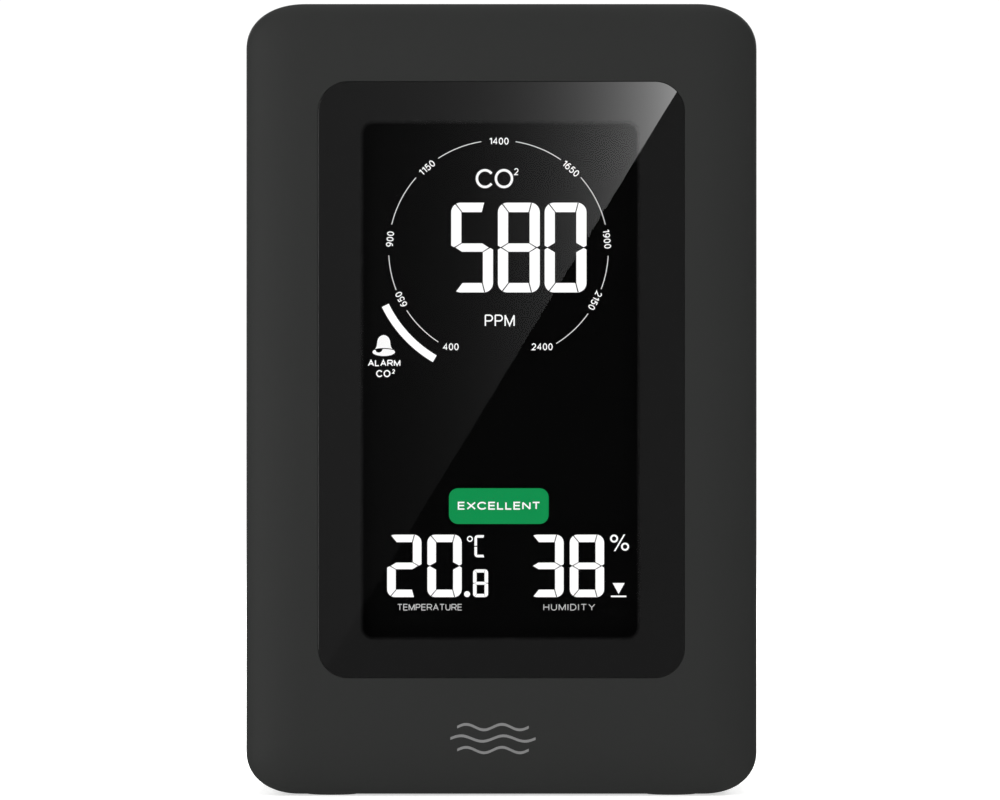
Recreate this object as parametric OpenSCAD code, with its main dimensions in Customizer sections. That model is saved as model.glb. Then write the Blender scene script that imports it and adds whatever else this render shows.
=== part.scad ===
// Desk carbon dioxide monitor: a two-shell moulded housing around a backlit segment display,
// an infrared gas sensor, a lithium cell and four push buttons on the back.
// Millimetres. +Z is up, the display faces -Y, and the origin is in the middle of the base.

/* [Body] */
// Overall width
body_w = 78; // [77:0.5:84]
// Overall height, from under the feet to the top
body_h = 121; // [121:1:130]
// Overall depth
body_d = 38; // [38:0.5:44]
// Depth of the front housing, from its face to the parting line
front_d = 12; // [11.5:0.5:14]
// Wall thickness of the sides and the back
wall = 2; // [1.8:0.1:2.2]
// Width of an upper corner of the outline
top_corner_w = 9.2; // [6:0.1:10]
// Height of an upper corner of the outline
top_corner_h = 7; // [6:0.1:10]
// Width of a lower corner of the outline
low_corner_w = 8.3; // [6:0.1:10]
// Height of a lower corner of the outline
low_corner_h = 6.6; // [6:0.1:10]
// How far the rolled front edge reaches in across the face
roll_w = 8.5; // [4:0.5:9]
// How far the rolled front edge reaches back along the sides
roll_d = 2.4; // [1.5:0.1:3]
// Radius of the back edge
back_r = 5; // [3:0.5:6]

/* [Lens and display] */
// Width of the lens
lens_w = 55.9; // [54:0.1:57]
// Height of the lens
lens_h = 91; // [90:0.1:92]
// Corner radius of the lens
lens_r = 4.6; // [3:0.1:6]
// Height of the lens's lower edge above the base
lens_z0 = 18.05; // [17.5:0.05:18.5]
// Thickness of the lens
lens_t = 1.5; // [1.2:0.1:1.6]
// Width of the display glass
glass_w = 46.6; // [45:0.1:47]
// Height of the display glass
glass_h = 86.4; // [85:0.1:87]

/* [Buttons] */
// Length of a button cap
cap_w = 9; // [7:0.5:10]
// Height of a button cap
cap_h = 5; // [4:0.5:6]
// Distance from one button to the next
cap_pitch = 14; // [13:0.5:15]
// Height of the button row above the base
cap_z = 103.5; // [102:0.5:104]
// Travel of a button
cap_travel = 0.5; // [0.3:0.1:0.6]

/* [Ventilation] */
// Rows of slots in the grille
vent_rows = 9; // [5:1:9]
// Height of one slot
vent_slot_h = 1.8; // [1.2:0.1:2]
// Length of one slot
vent_slot_w = 20; // [12:1:20]

/* [Feet] */
// Radius of a foot
foot_r = 4; // [3:0.5:4]
// How far a foot stands out of the base
foot_proud = 0.25; // [0.2:0.05:0.5]

/* [Hidden] */
$fn = 48;
eps = 0.01;

// Outline and depths of the housing
y_front = -body_d / 2;
y_back = body_d / 2;
y_part = y_front + front_d;
corner_power = 2.2;
corner_steps = 8;
roll_steps = 6;
least_corner = 1;
face_t = 3;
y_face_in = y_front + face_t;
y_back_in = y_back - wall;
inner_roll_w = 6;
inner_roll_d = 1.2;
lip_gap = 0.1;
part_gap = 0.1;
lip_t = 1;
lip_reach = 1.8;

// Lens, bonding tape and glass stack, counted back from the face
lens_z = lens_z0 + lens_h / 2;
lens_sunk = 0.1;
lens_gap = 0.1;
tape_t = 0.2;
tape_border = 1.5;
y_lens = y_front + lens_sunk;
y_tape = y_lens + lens_t;
y_ledge = y_tape + tape_t;
tape_inset = 0.3;
tape_out = tape_inset + tape_border;
ledge_w = 2.05;
opening_w = lens_w - 2 * ledge_w;
opening_h = lens_h - 2 * ledge_w;
opening_r = 2;
polar_t = 0.2;
pane_t = 1.05;
layer_gap = 0.05;
y_polar = y_ledge + layer_gap;
y_pane = y_polar + polar_t;
y_pane_2 = y_pane + pane_t;
y_polar_2 = y_pane_2 + pane_t;
contact_h = 2.2;
polar_margin = 1.5;
polar_w = glass_w - 0.8;
carrier_gap = 0.15;

// Backlight behind the glass
y_film = y_polar_2 + polar_t + layer_gap;
film_t = 0.25;
guide_t = 2.2;
tray_t = 0.8;
guide_w = 45.4;
guide_h = 79.8;
guide_z = lens_z - 0.5;
led_bay_h = 3;
tray_w = glass_w;
tray_rim = 0.5;
y_guide = y_film + film_t;
y_tray = y_guide + guide_t;
led_count = 6;
led_pitch = 7;
led_size = [3, 1.8, 1];
led_flex_t = 0.2;
guide_gap = 0.1;
guide_notch = [1.2, 3];

// Main board behind the display
board_w = 58;
board_t = 1.6;
board_z0 = 10.5;
board_z1 = 116.5;
board_gap = 1;
y_board = y_tray + tray_t + board_gap;
y_board_back = y_board + board_t;
board_hole_x = 22;
board_hole_z = [13.5, 113.5];
mcu_z = 42;
power_chip_x = -18;
power_chip_z = [30, 41];
buzzer_at = [21, 96];
boss_r = 2.4;
pilot_r = 0.9;
screw_gap = 0.02;

// Flat cables and their sockets on the main board
flex_t = 0.15;
socket_h = 1.6;
y_flex_end = y_board_back + socket_h + 0.1;
switch_flex_x = -8;

// Corner screws that hold the two housings together
corner_x = body_w / 2 - 5.8;
corner_z = [9, body_h - 9];
corner_boss_r = 3;
corner_post_r = 3.4;
corner_well_r = 2.3;
y_corner_joint = y_part + 4;
corner_seat = 2.2;
corner_pilot_r = 1.1;

// Buttons, plungers and their switches, counted in from the back
cap_x = [for (i = [0:3]) (i - 1.5) * cap_pitch];
bed_d = 0.8;
bed_margin = 4.5;
cap_gap = 0.2;
cap_sunk = 0.2;
cap_step = 0.25;
flange_t = 0.9;
flange_out = 0.8;
flange_gap = 0.05;
y_flange = y_back_in - flange_gap - flange_t;
stem_r = 1.5;
plunger_r = 1.7;
plunger_gap = 0.05;
switch_size = 6;
switch_t = 3.5;
switch_board_t = 1.2;
y_switch_board = y_back_in - 8.7;
y_switch = y_switch_board + switch_board_t;
y_switch_top = y_switch + switch_t;
plunger_up_h = 1;
y_plunger_top = y_switch_top + plunger_up_h;
plunger_in = 1;
switch_board_w = 63;
switch_board_h = 9.8;
switch_post_x = 29;
switch_post_r = 2.2;

// Grille, filter and sensors
vent_pitch = 3.6;
vent_z = 76;
vent_gap = 3;
filter_t = 0.6;
filter_w = 2 * vent_slot_w + vent_gap + 4;
filter_h = vent_rows * vent_pitch + 2;
gas_board = [34, 20, 1.6];
gas_z = 74;
y_gas = y_board_back + 5.6;
gas_chamber = [26, 17, 6.4];
gas_lid = 1.4;
gas_window = [7, 10];
gas_window_x = 5.5;
gas_window_d = 0.5;
pin_x = 15.2;
pin_pitch = 2.54;
pin_r = 0.32;
pin_row = 1.2;
climate_x = -17;
climate_z = 57;
climate_size = [10, 12, 0.8];
y_climate = y_back_in - 4;

// Lithium cell
cell_size = [50, 10, 34];
cell_z0 = 17;
cell_tape_t = 0.6;
y_cell = y_back_in - cell_tape_t - cell_size[1];
cell_edge_r = 2.5;
cell_rib = 1.4;
cell_rib_d = 6;
cell_rib_gap = 0.2;
cell_rib_x = [9.5, 20];
plug_x = 22;
plug_z = 58;
plug_end = 6.6;

// Charging socket
usb_z = 10.85;
usb_w = 8.94;
usb_h = 3.2;
usb_skin = 0.32;
usb_l = 7.4;
usb_seat_z = usb_z - usb_h / 2 - 0.05;
usb_pocket = [13, 7.2, 4.6];
usb_sleeve = 1.4;
gasket_t = 1.2;
y_usb_mouth = y_back - usb_pocket[2];
usb_board = [18, 14.4, 1];
usb_post_x = 6.8;
y_usb_post = y_usb_mouth - usb_l - 3;
tongue = [6.6, 6, 0.7];
usb_plug_z = 18;

// Feet
foot_t = 1;
foot_gap = 0.1;
foot_x = 26;
foot_y = [y_front + 7, y_back - 10];

// Corner of an outline, running from its side point to its end point
function corner(cx, cz, w, h) = [
  for (i = [0:corner_steps])
    let (t = 90 * i / corner_steps)
    [cx + w * pow(cos(t), 2 / corner_power), cz + h * pow(sin(t), 2 / corner_power)]
];

function reversed(list) = [for (i = [len(list) - 1:-1:0]) list[i]];

// Front view of the housing, drawn in by inset on every side
function outline(inset) =
  let (
    side = body_w / 2 - inset,
    top = body_h - inset,
    low = foot_proud + inset,
    tw = max(top_corner_w - 0.75 * inset, least_corner),
    th = max(top_corner_h - 0.75 * inset, least_corner),
    lw = max(low_corner_w - 0.75 * inset, least_corner),
    lh = max(low_corner_h - 0.75 * inset, least_corner)
  )
  concat(
    corner(side - tw, top - th, tw, th),
    reversed(corner(-side + tw, top - th, -tw, th)),
    corner(-side + lw, low + lh, -lw, -lh),
    reversed(corner(side - lw, low + lh, lw, -lh))
  );

// Section of the housing as depths and places from low to high, its front edge rolled, its back edge round
function rolled(low, high, y0, y1, edge_w, edge_d, back) =
  let (
    front_edge = [
      for (i = [0:roll_steps])
        let (t = 90 * i / roll_steps)
        [y0 + edge_d * (1 - sin(t)), edge_w * (1 - cos(t))]
    ],
    back_edge = [
      for (i = [roll_steps:-1:0])
        let (t = 90 * i / roll_steps)
        [y1 - back * (1 - sin(t)), back * (1 - cos(t))]
    ],
    edge = concat(back_edge, front_edge)
  )
  concat([for (p = edge) [p[0], low + p[1]]], [for (p = reversed(edge)) [p[0], high - p[1]]]);

function swapped(points) = [for (p = points) [p[1], p[0]]];

// Normal of the step from a to b, and the mitred normal at point i of a path
function step_normal(a, b) = [a[1] - b[1], b[0] - a[0]] / norm(b - a);
function mitre(path, i) =
  let (
    last = len(path) - 1,
    before = step_normal(path[max(i - 1, 0)], path[max(i, 1)]),
    after = step_normal(path[min(i, last - 1)], path[min(i + 1, last)])
  )
  (before + after) / (1 + before * after);

// Point at part u of a smooth curve that passes b and c, led by a and d
function between_points(a, b, c, d, u) =
  0.5 * (2 * b + (c - a) * u + (2 * a - 5 * b + 4 * c - d) * u * u
    + (3 * b - a - 3 * c + d) * u * u * u);
function smooth(path, steps) =
  let (last = len(path) - 1)
  concat(
    [
      for (i = [0:last - 1], k = [0:steps - 1])
        between_points(path[max(i - 1, 0)], path[i], path[i + 1], path[min(i + 2, last)], k / steps)
    ],
    [path[last]]
  );

// Fills a front-view shape from depth y0 back to depth y1
module between(y0, y1) {
  translate([0, y1, 0]) rotate([90, 0, 0]) linear_extrude(y1 - y0) children();
}

module rounded_rect(w, h, r) {
  square([w - 2 * r, h], center = true);
  square([w, h - 2 * r], center = true);
  for (x = [-1, 1], z = [-1, 1]) translate([x * (w / 2 - r), z * (h / 2 - r)]) circle(r);
}

module pill(w, h) {
  square([w - h, h], center = true);
  for (x = [-1, 1]) translate([x * (w - h) / 2, 0]) circle(h / 2);
}

// Block from its lowest corner to its highest
module block(low, high) {
  translate(low) cube(high - low);
}

// Rod along the depth, at a place on the front view
module rod(x, z, r, y0, y1) {
  translate([x, y0, z]) rotate([-90, 0, 0]) cylinder(r = r, h = y1 - y0);
}

module ring(inset, thickness, y0, y1) {
  between(y0, y1) difference() {
    polygon(outline(inset));
    polygon(outline(inset + thickness));
  }
}

// Closed form: the front view, the top view and the side view of the housing, crossed with each other
module form(inset, y0, y1, edge_w, edge_d, back) {
  side = body_w / 2 - inset;
  intersection() {
    between(y0, y1) polygon(outline(inset));
    linear_extrude(body_h) polygon(swapped(rolled(-side, side, y0, y1, edge_w, edge_d, back)));
    rotate([90, 0, 90]) linear_extrude(2 * side, center = true)
      polygon(rolled(foot_proud + inset, body_h - inset, y0, y1, edge_w, edge_d, back));
  }
}

module outer_form() {
  form(0, y_front, y_back, roll_w, roll_d, back_r);
}

module inner_form() {
  form(wall, y_face_in, y_back_in, inner_roll_w, inner_roll_d, back_r - wall);
}

// Screw with its head above z = 0 and a cross recess
module screw(head_r, head_h, shank_r, length) {
  difference() {
    union() {
      cylinder(r1 = head_r, r2 = head_r * 0.8, h = head_h);
      translate([0, 0, -length]) cylinder(r = shank_r, h = length + eps);
    }
    for (a = [0, 90]) rotate([0, 0, a]) translate([0, 0, head_h])
      cube([head_r, head_r * 0.28, head_h * 1.1], center = true);
  }
}

// Flat cable along a path of depth and height
module flex(path, width, thickness) {
  count = len(path) - 1;
  near = [for (i = [0:count]) path[i] + mitre(path, i) * thickness / 2];
  far = [for (i = [count:-1:0]) path[i] - mitre(path, i) * thickness / 2];
  rotate([90, 0, 90]) linear_extrude(width, center = true) polygon(concat(near, far));
}

// Round wire along a smooth path
module wire(path, r) {
  sides = 8;
  points = smooth(path, 4);
  count = len(points);
  rings = [
    for (i = [0:count - 1])
      let (
        run = points[min(i + 1, count - 1)] - points[max(i - 1, 0)],
        along = run / norm(run),
        across = cross(along, [1, 0.2, 0]) / norm(cross(along, [1, 0.2, 0])),
        up = cross(across, along)
      )
      for (k = [0:sides - 1])
        points[i] + r * (across * cos(360 * k / sides) + up * sin(360 * k / sides))
  ];
  walls = [
    for (i = [0:count - 2], k = [0:sides - 1])
      let (n = (k + 1) % sides)
      [i * sides + k, i * sides + n, (i + 1) * sides + n, (i + 1) * sides + k]
  ];
  start = [for (k = [sides - 1:-1:0]) k];
  end = [for (k = [0:sides - 1]) (count - 1) * sides + k];
  polyhedron(points = rings, faces = concat([start], walls, [end]), convexity = 4);
}

module front_housing() {
  color("#343434") difference() {
    union() {
      difference() {
        intersection() {
          outer_form();
          block([-body_w, y_front - 1, -1], [body_w, y_part, body_h + 1]);
        }
        inner_form();
      }
      ring(wall - lip_gap, lip_t + lip_gap, y_part - 2 * lip_reach, y_part);
      ring(wall + lip_gap, lip_t, y_part - lip_reach, y_part + lip_reach);
      for (x = [-1, 1], z = corner_z)
        rod(x * corner_x, z, corner_boss_r, y_face_in - 1, y_corner_joint);
      for (x = [-1, 1], z = board_hole_z)
        rod(x * board_hole_x, z, boss_r, y_face_in - eps, y_board);
    }
    translate([0, 0, lens_z]) between(y_front - 1, y_ledge)
      rounded_rect(lens_w + 2 * lens_gap, lens_h + 2 * lens_gap, lens_r + lens_gap);
    translate([0, 0, lens_z]) between(y_front, y_face_in + 2) rounded_rect(opening_w, opening_h, opening_r);
    for (x = [-1, 1], z = corner_z)
      rod(x * corner_x, z, corner_pilot_r, y_face_in + 1, y_corner_joint + 1);
    for (x = [-1, 1], z = board_hole_z)
      rod(x * board_hole_x, z, pilot_r, y_face_in, y_board + 1);
    foot_recess(foot_y[0]);
  }
}

module rear_housing() {
  color("#323334") difference() {
    union() {
      difference() {
        intersection() {
          outer_form();
          block([-body_w, y_part + part_gap, -1], [body_w, y_back + 1, body_h + 1]);
        }
        inner_form();
      }
      for (x = [-1, 1], z = corner_z)
        rod(x * corner_x, z, corner_post_r, y_corner_joint + part_gap, y_back_in + 1);
      for (x = [-1, 1])
        rod(x * switch_post_x, cap_z, switch_post_r, y_switch, y_back_in + 1);
      for (x = [-1, 1])
        translate([x * usb_post_x, y_usb_post, wall]) cylinder(r = 2, h = usb_seat_z - usb_board[2] - wall);
      translate([0, 0, usb_z]) between(y_usb_mouth, y_back_in + 1)
        pill(usb_pocket[0] + 2 * usb_sleeve, usb_pocket[1] + 2 * usb_sleeve);
      for (x = [-2.5, 2.5])
        rod(climate_x + x, climate_z - 0.5, 1, y_climate + climate_size[2], y_back_in + 1);
      cell_ribs();
    }
    for (x = [-1, 1], z = corner_z) {
      rod(x * corner_x, z, corner_pilot_r + 0.2, y_corner_joint - 1, y_back + 1);
      rod(x * corner_x, z, corner_well_r, y_corner_joint + corner_seat, y_back + 1);
    }
    for (x = [-1, 1]) {
      rod(x * switch_post_x, cap_z, pilot_r, y_switch - 1, y_switch + 5);
      translate([x * usb_post_x, y_usb_post, usb_z - usb_h / 2 - 6])
        cylinder(r = pilot_r, h = 6);
    }
    translate([0, 0, cap_z]) between(y_back - bed_d, y_back + 1)
      pill(3 * cap_pitch + cap_w + bed_margin, cap_h + bed_margin);
    for (x = cap_x) translate([x, 0, cap_z]) between(y_back_in - 1, y_back)
      pill(cap_w + 2 * cap_gap, cap_h + 2 * cap_gap);
    vent_slots();
    translate([0, 0, usb_z]) between(y_usb_mouth - 1, y_back + 1) pill(usb_pocket[0], usb_pocket[1]);
    foot_recess(foot_y[1]);
  }
}

// Ribs of the rear housing under and over the lithium cell, open in the middle for the socket
module cell_ribs() {
  low = cell_z0 - cell_rib_gap - cell_rib;
  high = cell_z0 + cell_size[2] + cell_rib_gap;
  for (z = [low, high], side = [0, 1]) mirror([side, 0, 0])
    block([cell_rib_x[0], y_back_in - cell_rib_d, z], [cell_rib_x[1], y_back_in + 1, z + cell_rib]);
}

module vent_slots() {
  for (row = [0:vent_rows - 1], x = [-1, 1])
    translate([x * (vent_slot_w + vent_gap) / 2, 0, vent_z + (row - (vent_rows - 1) / 2) * vent_pitch])
      between(y_back_in - 1, y_back + 1) pill(vent_slot_w, vent_slot_h);
}

module foot_recess(y) {
  for (x = [-1, 1]) translate([x * foot_x, y, -1]) cylinder(r = foot_r + foot_gap, h = foot_t + 1);
}

module display_lens() {
  color("#0a0a0b") translate([0, 0, lens_z]) between(y_lens, y_tape)
    rounded_rect(lens_w, lens_h, lens_r);
}

module lens_tape() {
  color("#202020") translate([0, 0, lens_z]) between(y_tape, y_ledge) difference() {
    rounded_rect(lens_w - 2 * tape_inset, lens_h - 2 * tape_inset, lens_r - tape_inset);
    rounded_rect(lens_w - 2 * tape_out, lens_h - 2 * tape_out, lens_r - tape_out);
  }
}

// Display layer of its own width and height, flush with the top of the glass
module display_layer(w, h, y, t) {
  translate([-w / 2, y, lens_z + glass_h / 2 - h]) cube([w, t, h]);
}

module lcd_front_polariser() {
  color("#0c0c0e") translate([0, 0, -polar_margin])
    display_layer(polar_w, glass_h - 2 * polar_margin, y_polar, polar_t);
}

module lcd_front_glass() {
  color("#aac4c0") display_layer(glass_w, glass_h, y_pane, pane_t);
}

module lcd_rear_glass() {
  color("#a2bcb8") display_layer(glass_w, glass_h - contact_h, y_pane_2, pane_t);
}

module lcd_rear_polariser() {
  color("#141418") translate([0, 0, -polar_margin])
    display_layer(polar_w, glass_h - contact_h - 2 * polar_margin, y_polar_2, polar_t);
}

module diffuser_film() {
  color("#f2f2ee") translate([-guide_w / 2, y_film, guide_z - guide_h / 2])
    cube([guide_w, film_t, guide_h + led_bay_h]);
}

module light_guide() {
  color("#e4f0f0") difference() {
    translate([-guide_w / 2, y_guide, guide_z - guide_h / 2]) cube([guide_w, guide_t, guide_h]);
    for (x = [-1, 1]) translate([x * guide_w / 2, y_guide + guide_t / 2, guide_z])
      cube([guide_notch[0], guide_t + 1, guide_notch[1]], center = true);
  }
}

module backlight_tray() {
  low = guide_z - guide_h / 2 - guide_gap;
  high = guide_z + guide_h / 2 + led_bay_h + guide_gap;
  color("#f5f5f2") difference() {
    block([-tray_w / 2, y_film, low - tray_rim], [tray_w / 2, y_tray + tray_t, high + tray_rim]);
    block([-guide_w / 2 - guide_gap, y_film - 1, low], [guide_w / 2 + guide_gap, y_tray, high]);
  }
}

module backlight_flex() {
  top = guide_z + guide_h / 2 + led_bay_h;
  color("#d8a13a") block(
    [-guide_w / 2 + 1, y_guide, top - led_flex_t],
    [guide_w / 2 - 1, y_guide + guide_t - guide_gap, top]
  );
}

module backlight_leds() {
  top = guide_z + guide_h / 2 + led_bay_h - led_flex_t;
  color("#f7f2c8") for (i = [0:led_count - 1])
    translate([(i - (led_count - 1) / 2) * led_pitch, y_guide + led_size[1] / 2, top - led_size[2] / 2])
      difference() {
        cube(led_size, center = true);
        translate([0, 0, -led_size[2] / 2]) cube([2.2, 1.1, 0.4], center = true);
      }
}

module display_carrier() {
  frame_w = glass_w + 7.6;
  frame_h = glass_h + 5;
  clip = [2.4, 5, 10];
  color("#26272a") difference() {
    translate([0, 0, lens_z]) between(y_face_in, y_board) rounded_rect(frame_w, frame_h, 2);
    display_layer(glass_w + 2 * carrier_gap, glass_h + carrier_gap, y_face_in - 1, y_board - y_face_in + 2);
    for (x = [-1, 1], z = [-1, 1])
      translate([x * frame_w / 2, y_face_in, lens_z + z * frame_h / 4]) cube(clip, center = true);
  }
}

module zebra_strip() {
  low = lens_z - glass_h / 2;
  half = 20;
  margin = 0.2;
  color("#c9cbd0") block([-half, y_pane_2, low + margin], [half, y_board, low + contact_h - margin]);
}

module main_board() {
  color("#1f6b3a") difference() {
    translate([0, 0, (board_z0 + board_z1) / 2]) between(y_board, y_board_back)
      rounded_rect(board_w, board_z1 - board_z0, 2);
    for (x = [-1, 1], z = board_hole_z) rod(x * board_hole_x, z, 1.2, y_board - 1, y_board_back + 1);
    pin_holes(y_board, y_board_back);
  }
}

// Places of the gas sensor's pins: five down one side and four down the other
module at_pins() {
  for (side = [-1, 1], i = [0:4]) if (side < 0 || i < 4)
    translate([side * pin_x, 0, gas_z + (i - 2) * pin_pitch]) children();
}

module pin_holes(y0, y1) {
  at_pins() rod(0, 0, 0.5, y0 - 1, y1 + 1);
}

module mcu_chip() {
  chip = [10, 1.5];
  lead = [0.34, 0.5, 1.1];
  leads = 11;
  lead_pitch = 0.8;
  color("#17181a") translate([0, y_board_back, mcu_z]) {
    between(0.1, chip[1]) square(chip[0], center = true);
    for (a = [0:90:270], i = [0:leads - 1])
      rotate([0, a, 0]) translate([(i - (leads - 1) / 2) * lead_pitch - lead[0] / 2, 0, chip[0] / 2 - 0.1])
        cube(lead);
  }
}

module power_chips() {
  chip = [5, 4, 1.6];
  lead = [1.2, 0.5, 0.35];
  lead_pitch = 0.9;
  color("#1b1c1f") for (z = power_chip_z) translate([power_chip_x, y_board_back, z]) {
    between(0.1, chip[2]) square([chip[0], chip[1]], center = true);
    for (x = [-1, 1], i = [0:3])
      translate([x * (chip[0] + 1) / 2, lead[1] / 2, (i - 1.5) * lead_pitch]) cube(lead, center = true);
  }
}

// Small parts: a row under the controller, a column beside it and two round capacitors
module board_passives() {
  small = [0.9, 1.7, 0.7];
  color("#b59a6a") {
    for (i = [-3:3]) translate([3 * i, y_board_back, mcu_z - 9])
      between(0, small[2]) square([small[0], small[1]], center = true);
    for (i = [-2:2]) translate([13, y_board_back, mcu_z + 2.4 * i])
      between(0, small[2]) square([small[1], small[0]], center = true);
    for (x = [power_chip_x, power_chip_x / 2])
      rod(x, power_chip_z[0] - 8, 2, y_board_back, y_board_back + 3.2);
  }
}

module clock_crystal() {
  color("#c8cace") translate([9.5, y_board_back, mcu_z + 8]) between(0, 1.2) pill(5, 2.2);
}

module buzzer() {
  can = [4.5, 4];
  sound_hole_r = 1;
  color("#151515") difference() {
    rod(buzzer_at[0], buzzer_at[1], can[0], y_board_back, y_board_back + can[1]);
    rod(buzzer_at[0], buzzer_at[1], sound_hole_r, y_board_back + 1, y_board_back + can[1] + 1);
  }
}

// Cable sockets on the main board: for the switches, the charging board and the climate sensor
module flex_connectors() {
  color("#e9e6dc")
    for (at = [[switch_flex_x, cap_z - 11, 12], [0, usb_plug_z, 12], [climate_x, climate_z - 4.5, 7]])
      translate([at[0], y_board_back, at[1]]) between(0, socket_h) square([at[2], 4], center = true);
}

module battery_connector() {
  color("#efeade") translate([plug_x, y_board_back, plug_z]) difference() {
    block([-4, 0, -2.8], [4, 5.6, 2.8]);
    block([-3.2, 0.8, -2], [3.2, 6, 2]);
  }
}

module battery_plug() {
  color("#f4f1e6") translate([plug_x, y_board_back, plug_z]) block([-3, 0.9, -1.8], [3, plug_end, 1.8]);
}

module co2_sensor_board() {
  color("#14532c") difference() {
    translate([0, 0, gas_z]) between(y_gas, y_gas + gas_board[2])
      square([gas_board[0], gas_board[1]], center = true);
    pin_holes(y_gas, y_gas + gas_board[2]);
  }
}

module co2_optical_chamber() {
  color("#c9a44a") translate([0, y_gas + gas_board[2], gas_z]) difference() {
    union() {
      between(0, gas_chamber[2] - gas_lid) rounded_rect(gas_chamber[0], gas_chamber[1], 3);
      between(gas_chamber[2] - gas_lid, gas_chamber[2])
        rounded_rect(gas_chamber[0] - 3, gas_chamber[1] - 3, 2);
    }
    for (x = [-1, 1]) translate([x * gas_window_x, 0, 0])
      between(gas_chamber[2] - gas_window_d, gas_chamber[2] + 1)
        rounded_rect(gas_window[0] + 0.2, gas_window[1] + 0.2, 1.1);
  }
}

module co2_filter() {
  color("#f6f6f4") for (x = [-1, 1]) translate([x * gas_window_x, y_gas + gas_board[2], gas_z])
    between(gas_chamber[2] - gas_window_d, gas_chamber[2] - 0.1)
      rounded_rect(gas_window[0], gas_window[1], 1);
}

module co2_header_pins() {
  color("#c9a44a") at_pins() rod(0, 0, pin_r, y_board - 0.8, y_gas + gas_board[2] + 1);
  color("#18181a") for (side = [-1, 1]) block(
    [side * pin_x - pin_row, y_board_back, gas_z - 2 * pin_pitch - pin_row],
    [side * pin_x + pin_row, y_board_back + 2.5, gas_z + (side < 0 ? 2 : 1) * pin_pitch + pin_row]
  );
}

module climate_board() {
  color("#14532c") translate([climate_x, 0, climate_z + 3]) between(y_climate, y_climate + climate_size[2])
    square([climate_size[0], climate_size[1]], center = true);
}

module climate_chip() {
  color("#222326") translate([climate_x, y_climate + climate_size[2], climate_z + 6]) difference() {
    between(0, 0.9) square(2.5, center = true);
    rod(0, 0, 0.5, 0.5, 1);
  }
}

module climate_flex() {
  color("#d8a13a") translate([climate_x, 0, 0]) flex([
    [y_climate - 0.1, climate_z + 2], [y_climate - 0.1, climate_z - 1.5],
    [y_climate - 3, climate_z - 3.5], [y_board_back + 6, climate_z - 3.5],
    [y_flex_end, climate_z - 4.5]
  ], 5, flex_t);
}

module vent_filter() {
  color("#55585a") translate([0, 0, vent_z]) between(y_back_in - filter_t, y_back_in)
    rounded_rect(filter_w, filter_h, 2);
}

module battery_cell() {
  x_edge = cell_size[0] / 2 - cell_edge_r;
  color("#b9bcc0") hull() for (x = [-x_edge, x_edge], y = [cell_edge_r, cell_size[1] - cell_edge_r])
    translate([x, y_cell + y, cell_z0]) cylinder(r = cell_edge_r, h = cell_size[2], $fn = 32);
}

module battery_tape() {
  color("#3a3b3d") translate([0, 0, cell_z0 + cell_size[2] / 2])
    between(y_back_in - cell_tape_t, y_back_in) rounded_rect(cell_size[0] - 8, cell_size[2] - 6, 1);
}

// Two leads from the top of the cell to the plug, side by side
module battery_leads() {
  y_start = y_cell + cell_size[1] / 2;
  z_start = cell_z0 + cell_size[2] + 0.1;
  y_end = y_board_back + plug_end;
  lead_r = 0.6;
  for (side = [-1, 1]) translate([plug_x + side * 0.9, 0, 0]) color(side < 0 ? "#202124" : "#b8242a") wire([
    [0, y_start, z_start], [0, y_start, z_start + 3], [0, y_start - 3, z_start + 6],
    [0, y_end + 3, plug_z], [0, y_end, plug_z]
  ], lead_r);
}

module usb_board() {
  color("#1f6b3a") difference() {
    block([-usb_board[0] / 2, y_usb_mouth - gasket_t - usb_board[1], usb_seat_z - usb_board[2]],
      [usb_board[0] / 2, y_usb_mouth - gasket_t, usb_seat_z]);
    for (x = [-1, 1]) translate([x * usb_post_x, y_usb_post, usb_seat_z - 2]) cylinder(r = 1.1, h = 4);
  }
}

module usb_shell() {
  color("#c4c7cb") translate([0, 0, usb_z]) {
    between(y_usb_mouth - usb_l, y_usb_mouth) difference() {
      pill(usb_w, usb_h);
      pill(usb_w - 2 * usb_skin, usb_h - 2 * usb_skin);
    }
    between(y_usb_mouth - usb_l, y_usb_mouth - usb_l + 0.4) pill(usb_w, usb_h);
  }
}

module usb_tongue() {
  y = y_usb_mouth - usb_l + 0.4;
  color("#1c1c1e") translate([-tongue[0] / 2, y, usb_z - tongue[2] / 2])
    cube([tongue[0], tongue[1], tongue[2]]);
}

// Soft ring round the socket, pressed against the inner end of the pocket
module usb_gasket() {
  color("#2a2a2b") translate([0, 0, usb_z]) between(y_usb_mouth - gasket_t, y_usb_mouth) difference() {
    pill(usb_pocket[0] + 2 * usb_sleeve - 0.4, usb_pocket[1] + 2 * usb_sleeve - 0.4);
    pill(usb_w + 0.04, usb_h + 0.04);
  }
}

module usb_flex() {
  z = usb_z - usb_h / 2 + 0.05;
  y = y_usb_mouth - 13;
  color("#d8a13a") flex([
    [y, z], [y - 5, z], [y_board_back + 4, z + 3],
    [y_flex_end, z + 6.5], [y_flex_end, usb_plug_z + 0.5]
  ], 8, flex_t);
}

module switch_board() {
  color("#1f6b3a") difference() {
    translate([0, 0, cap_z]) between(y_switch_board, y_switch)
      rounded_rect(switch_board_w, switch_board_h, 1.5);
    for (x = [-1, 1]) rod(x * switch_post_x, cap_z, 1.1, y_switch_board - 1, y_switch + 1);
  }
}

module switch_bodies() {
  color("#1a1a1c") for (x = cap_x) translate([x, 0, cap_z]) difference() {
    between(y_switch, y_switch_top) rounded_rect(switch_size, switch_size, 0.5);
    rod(0, 0, plunger_r + plunger_gap, y_switch_top - plunger_in - cap_travel - 0.2, y_switch_top + 1);
  }
}

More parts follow.
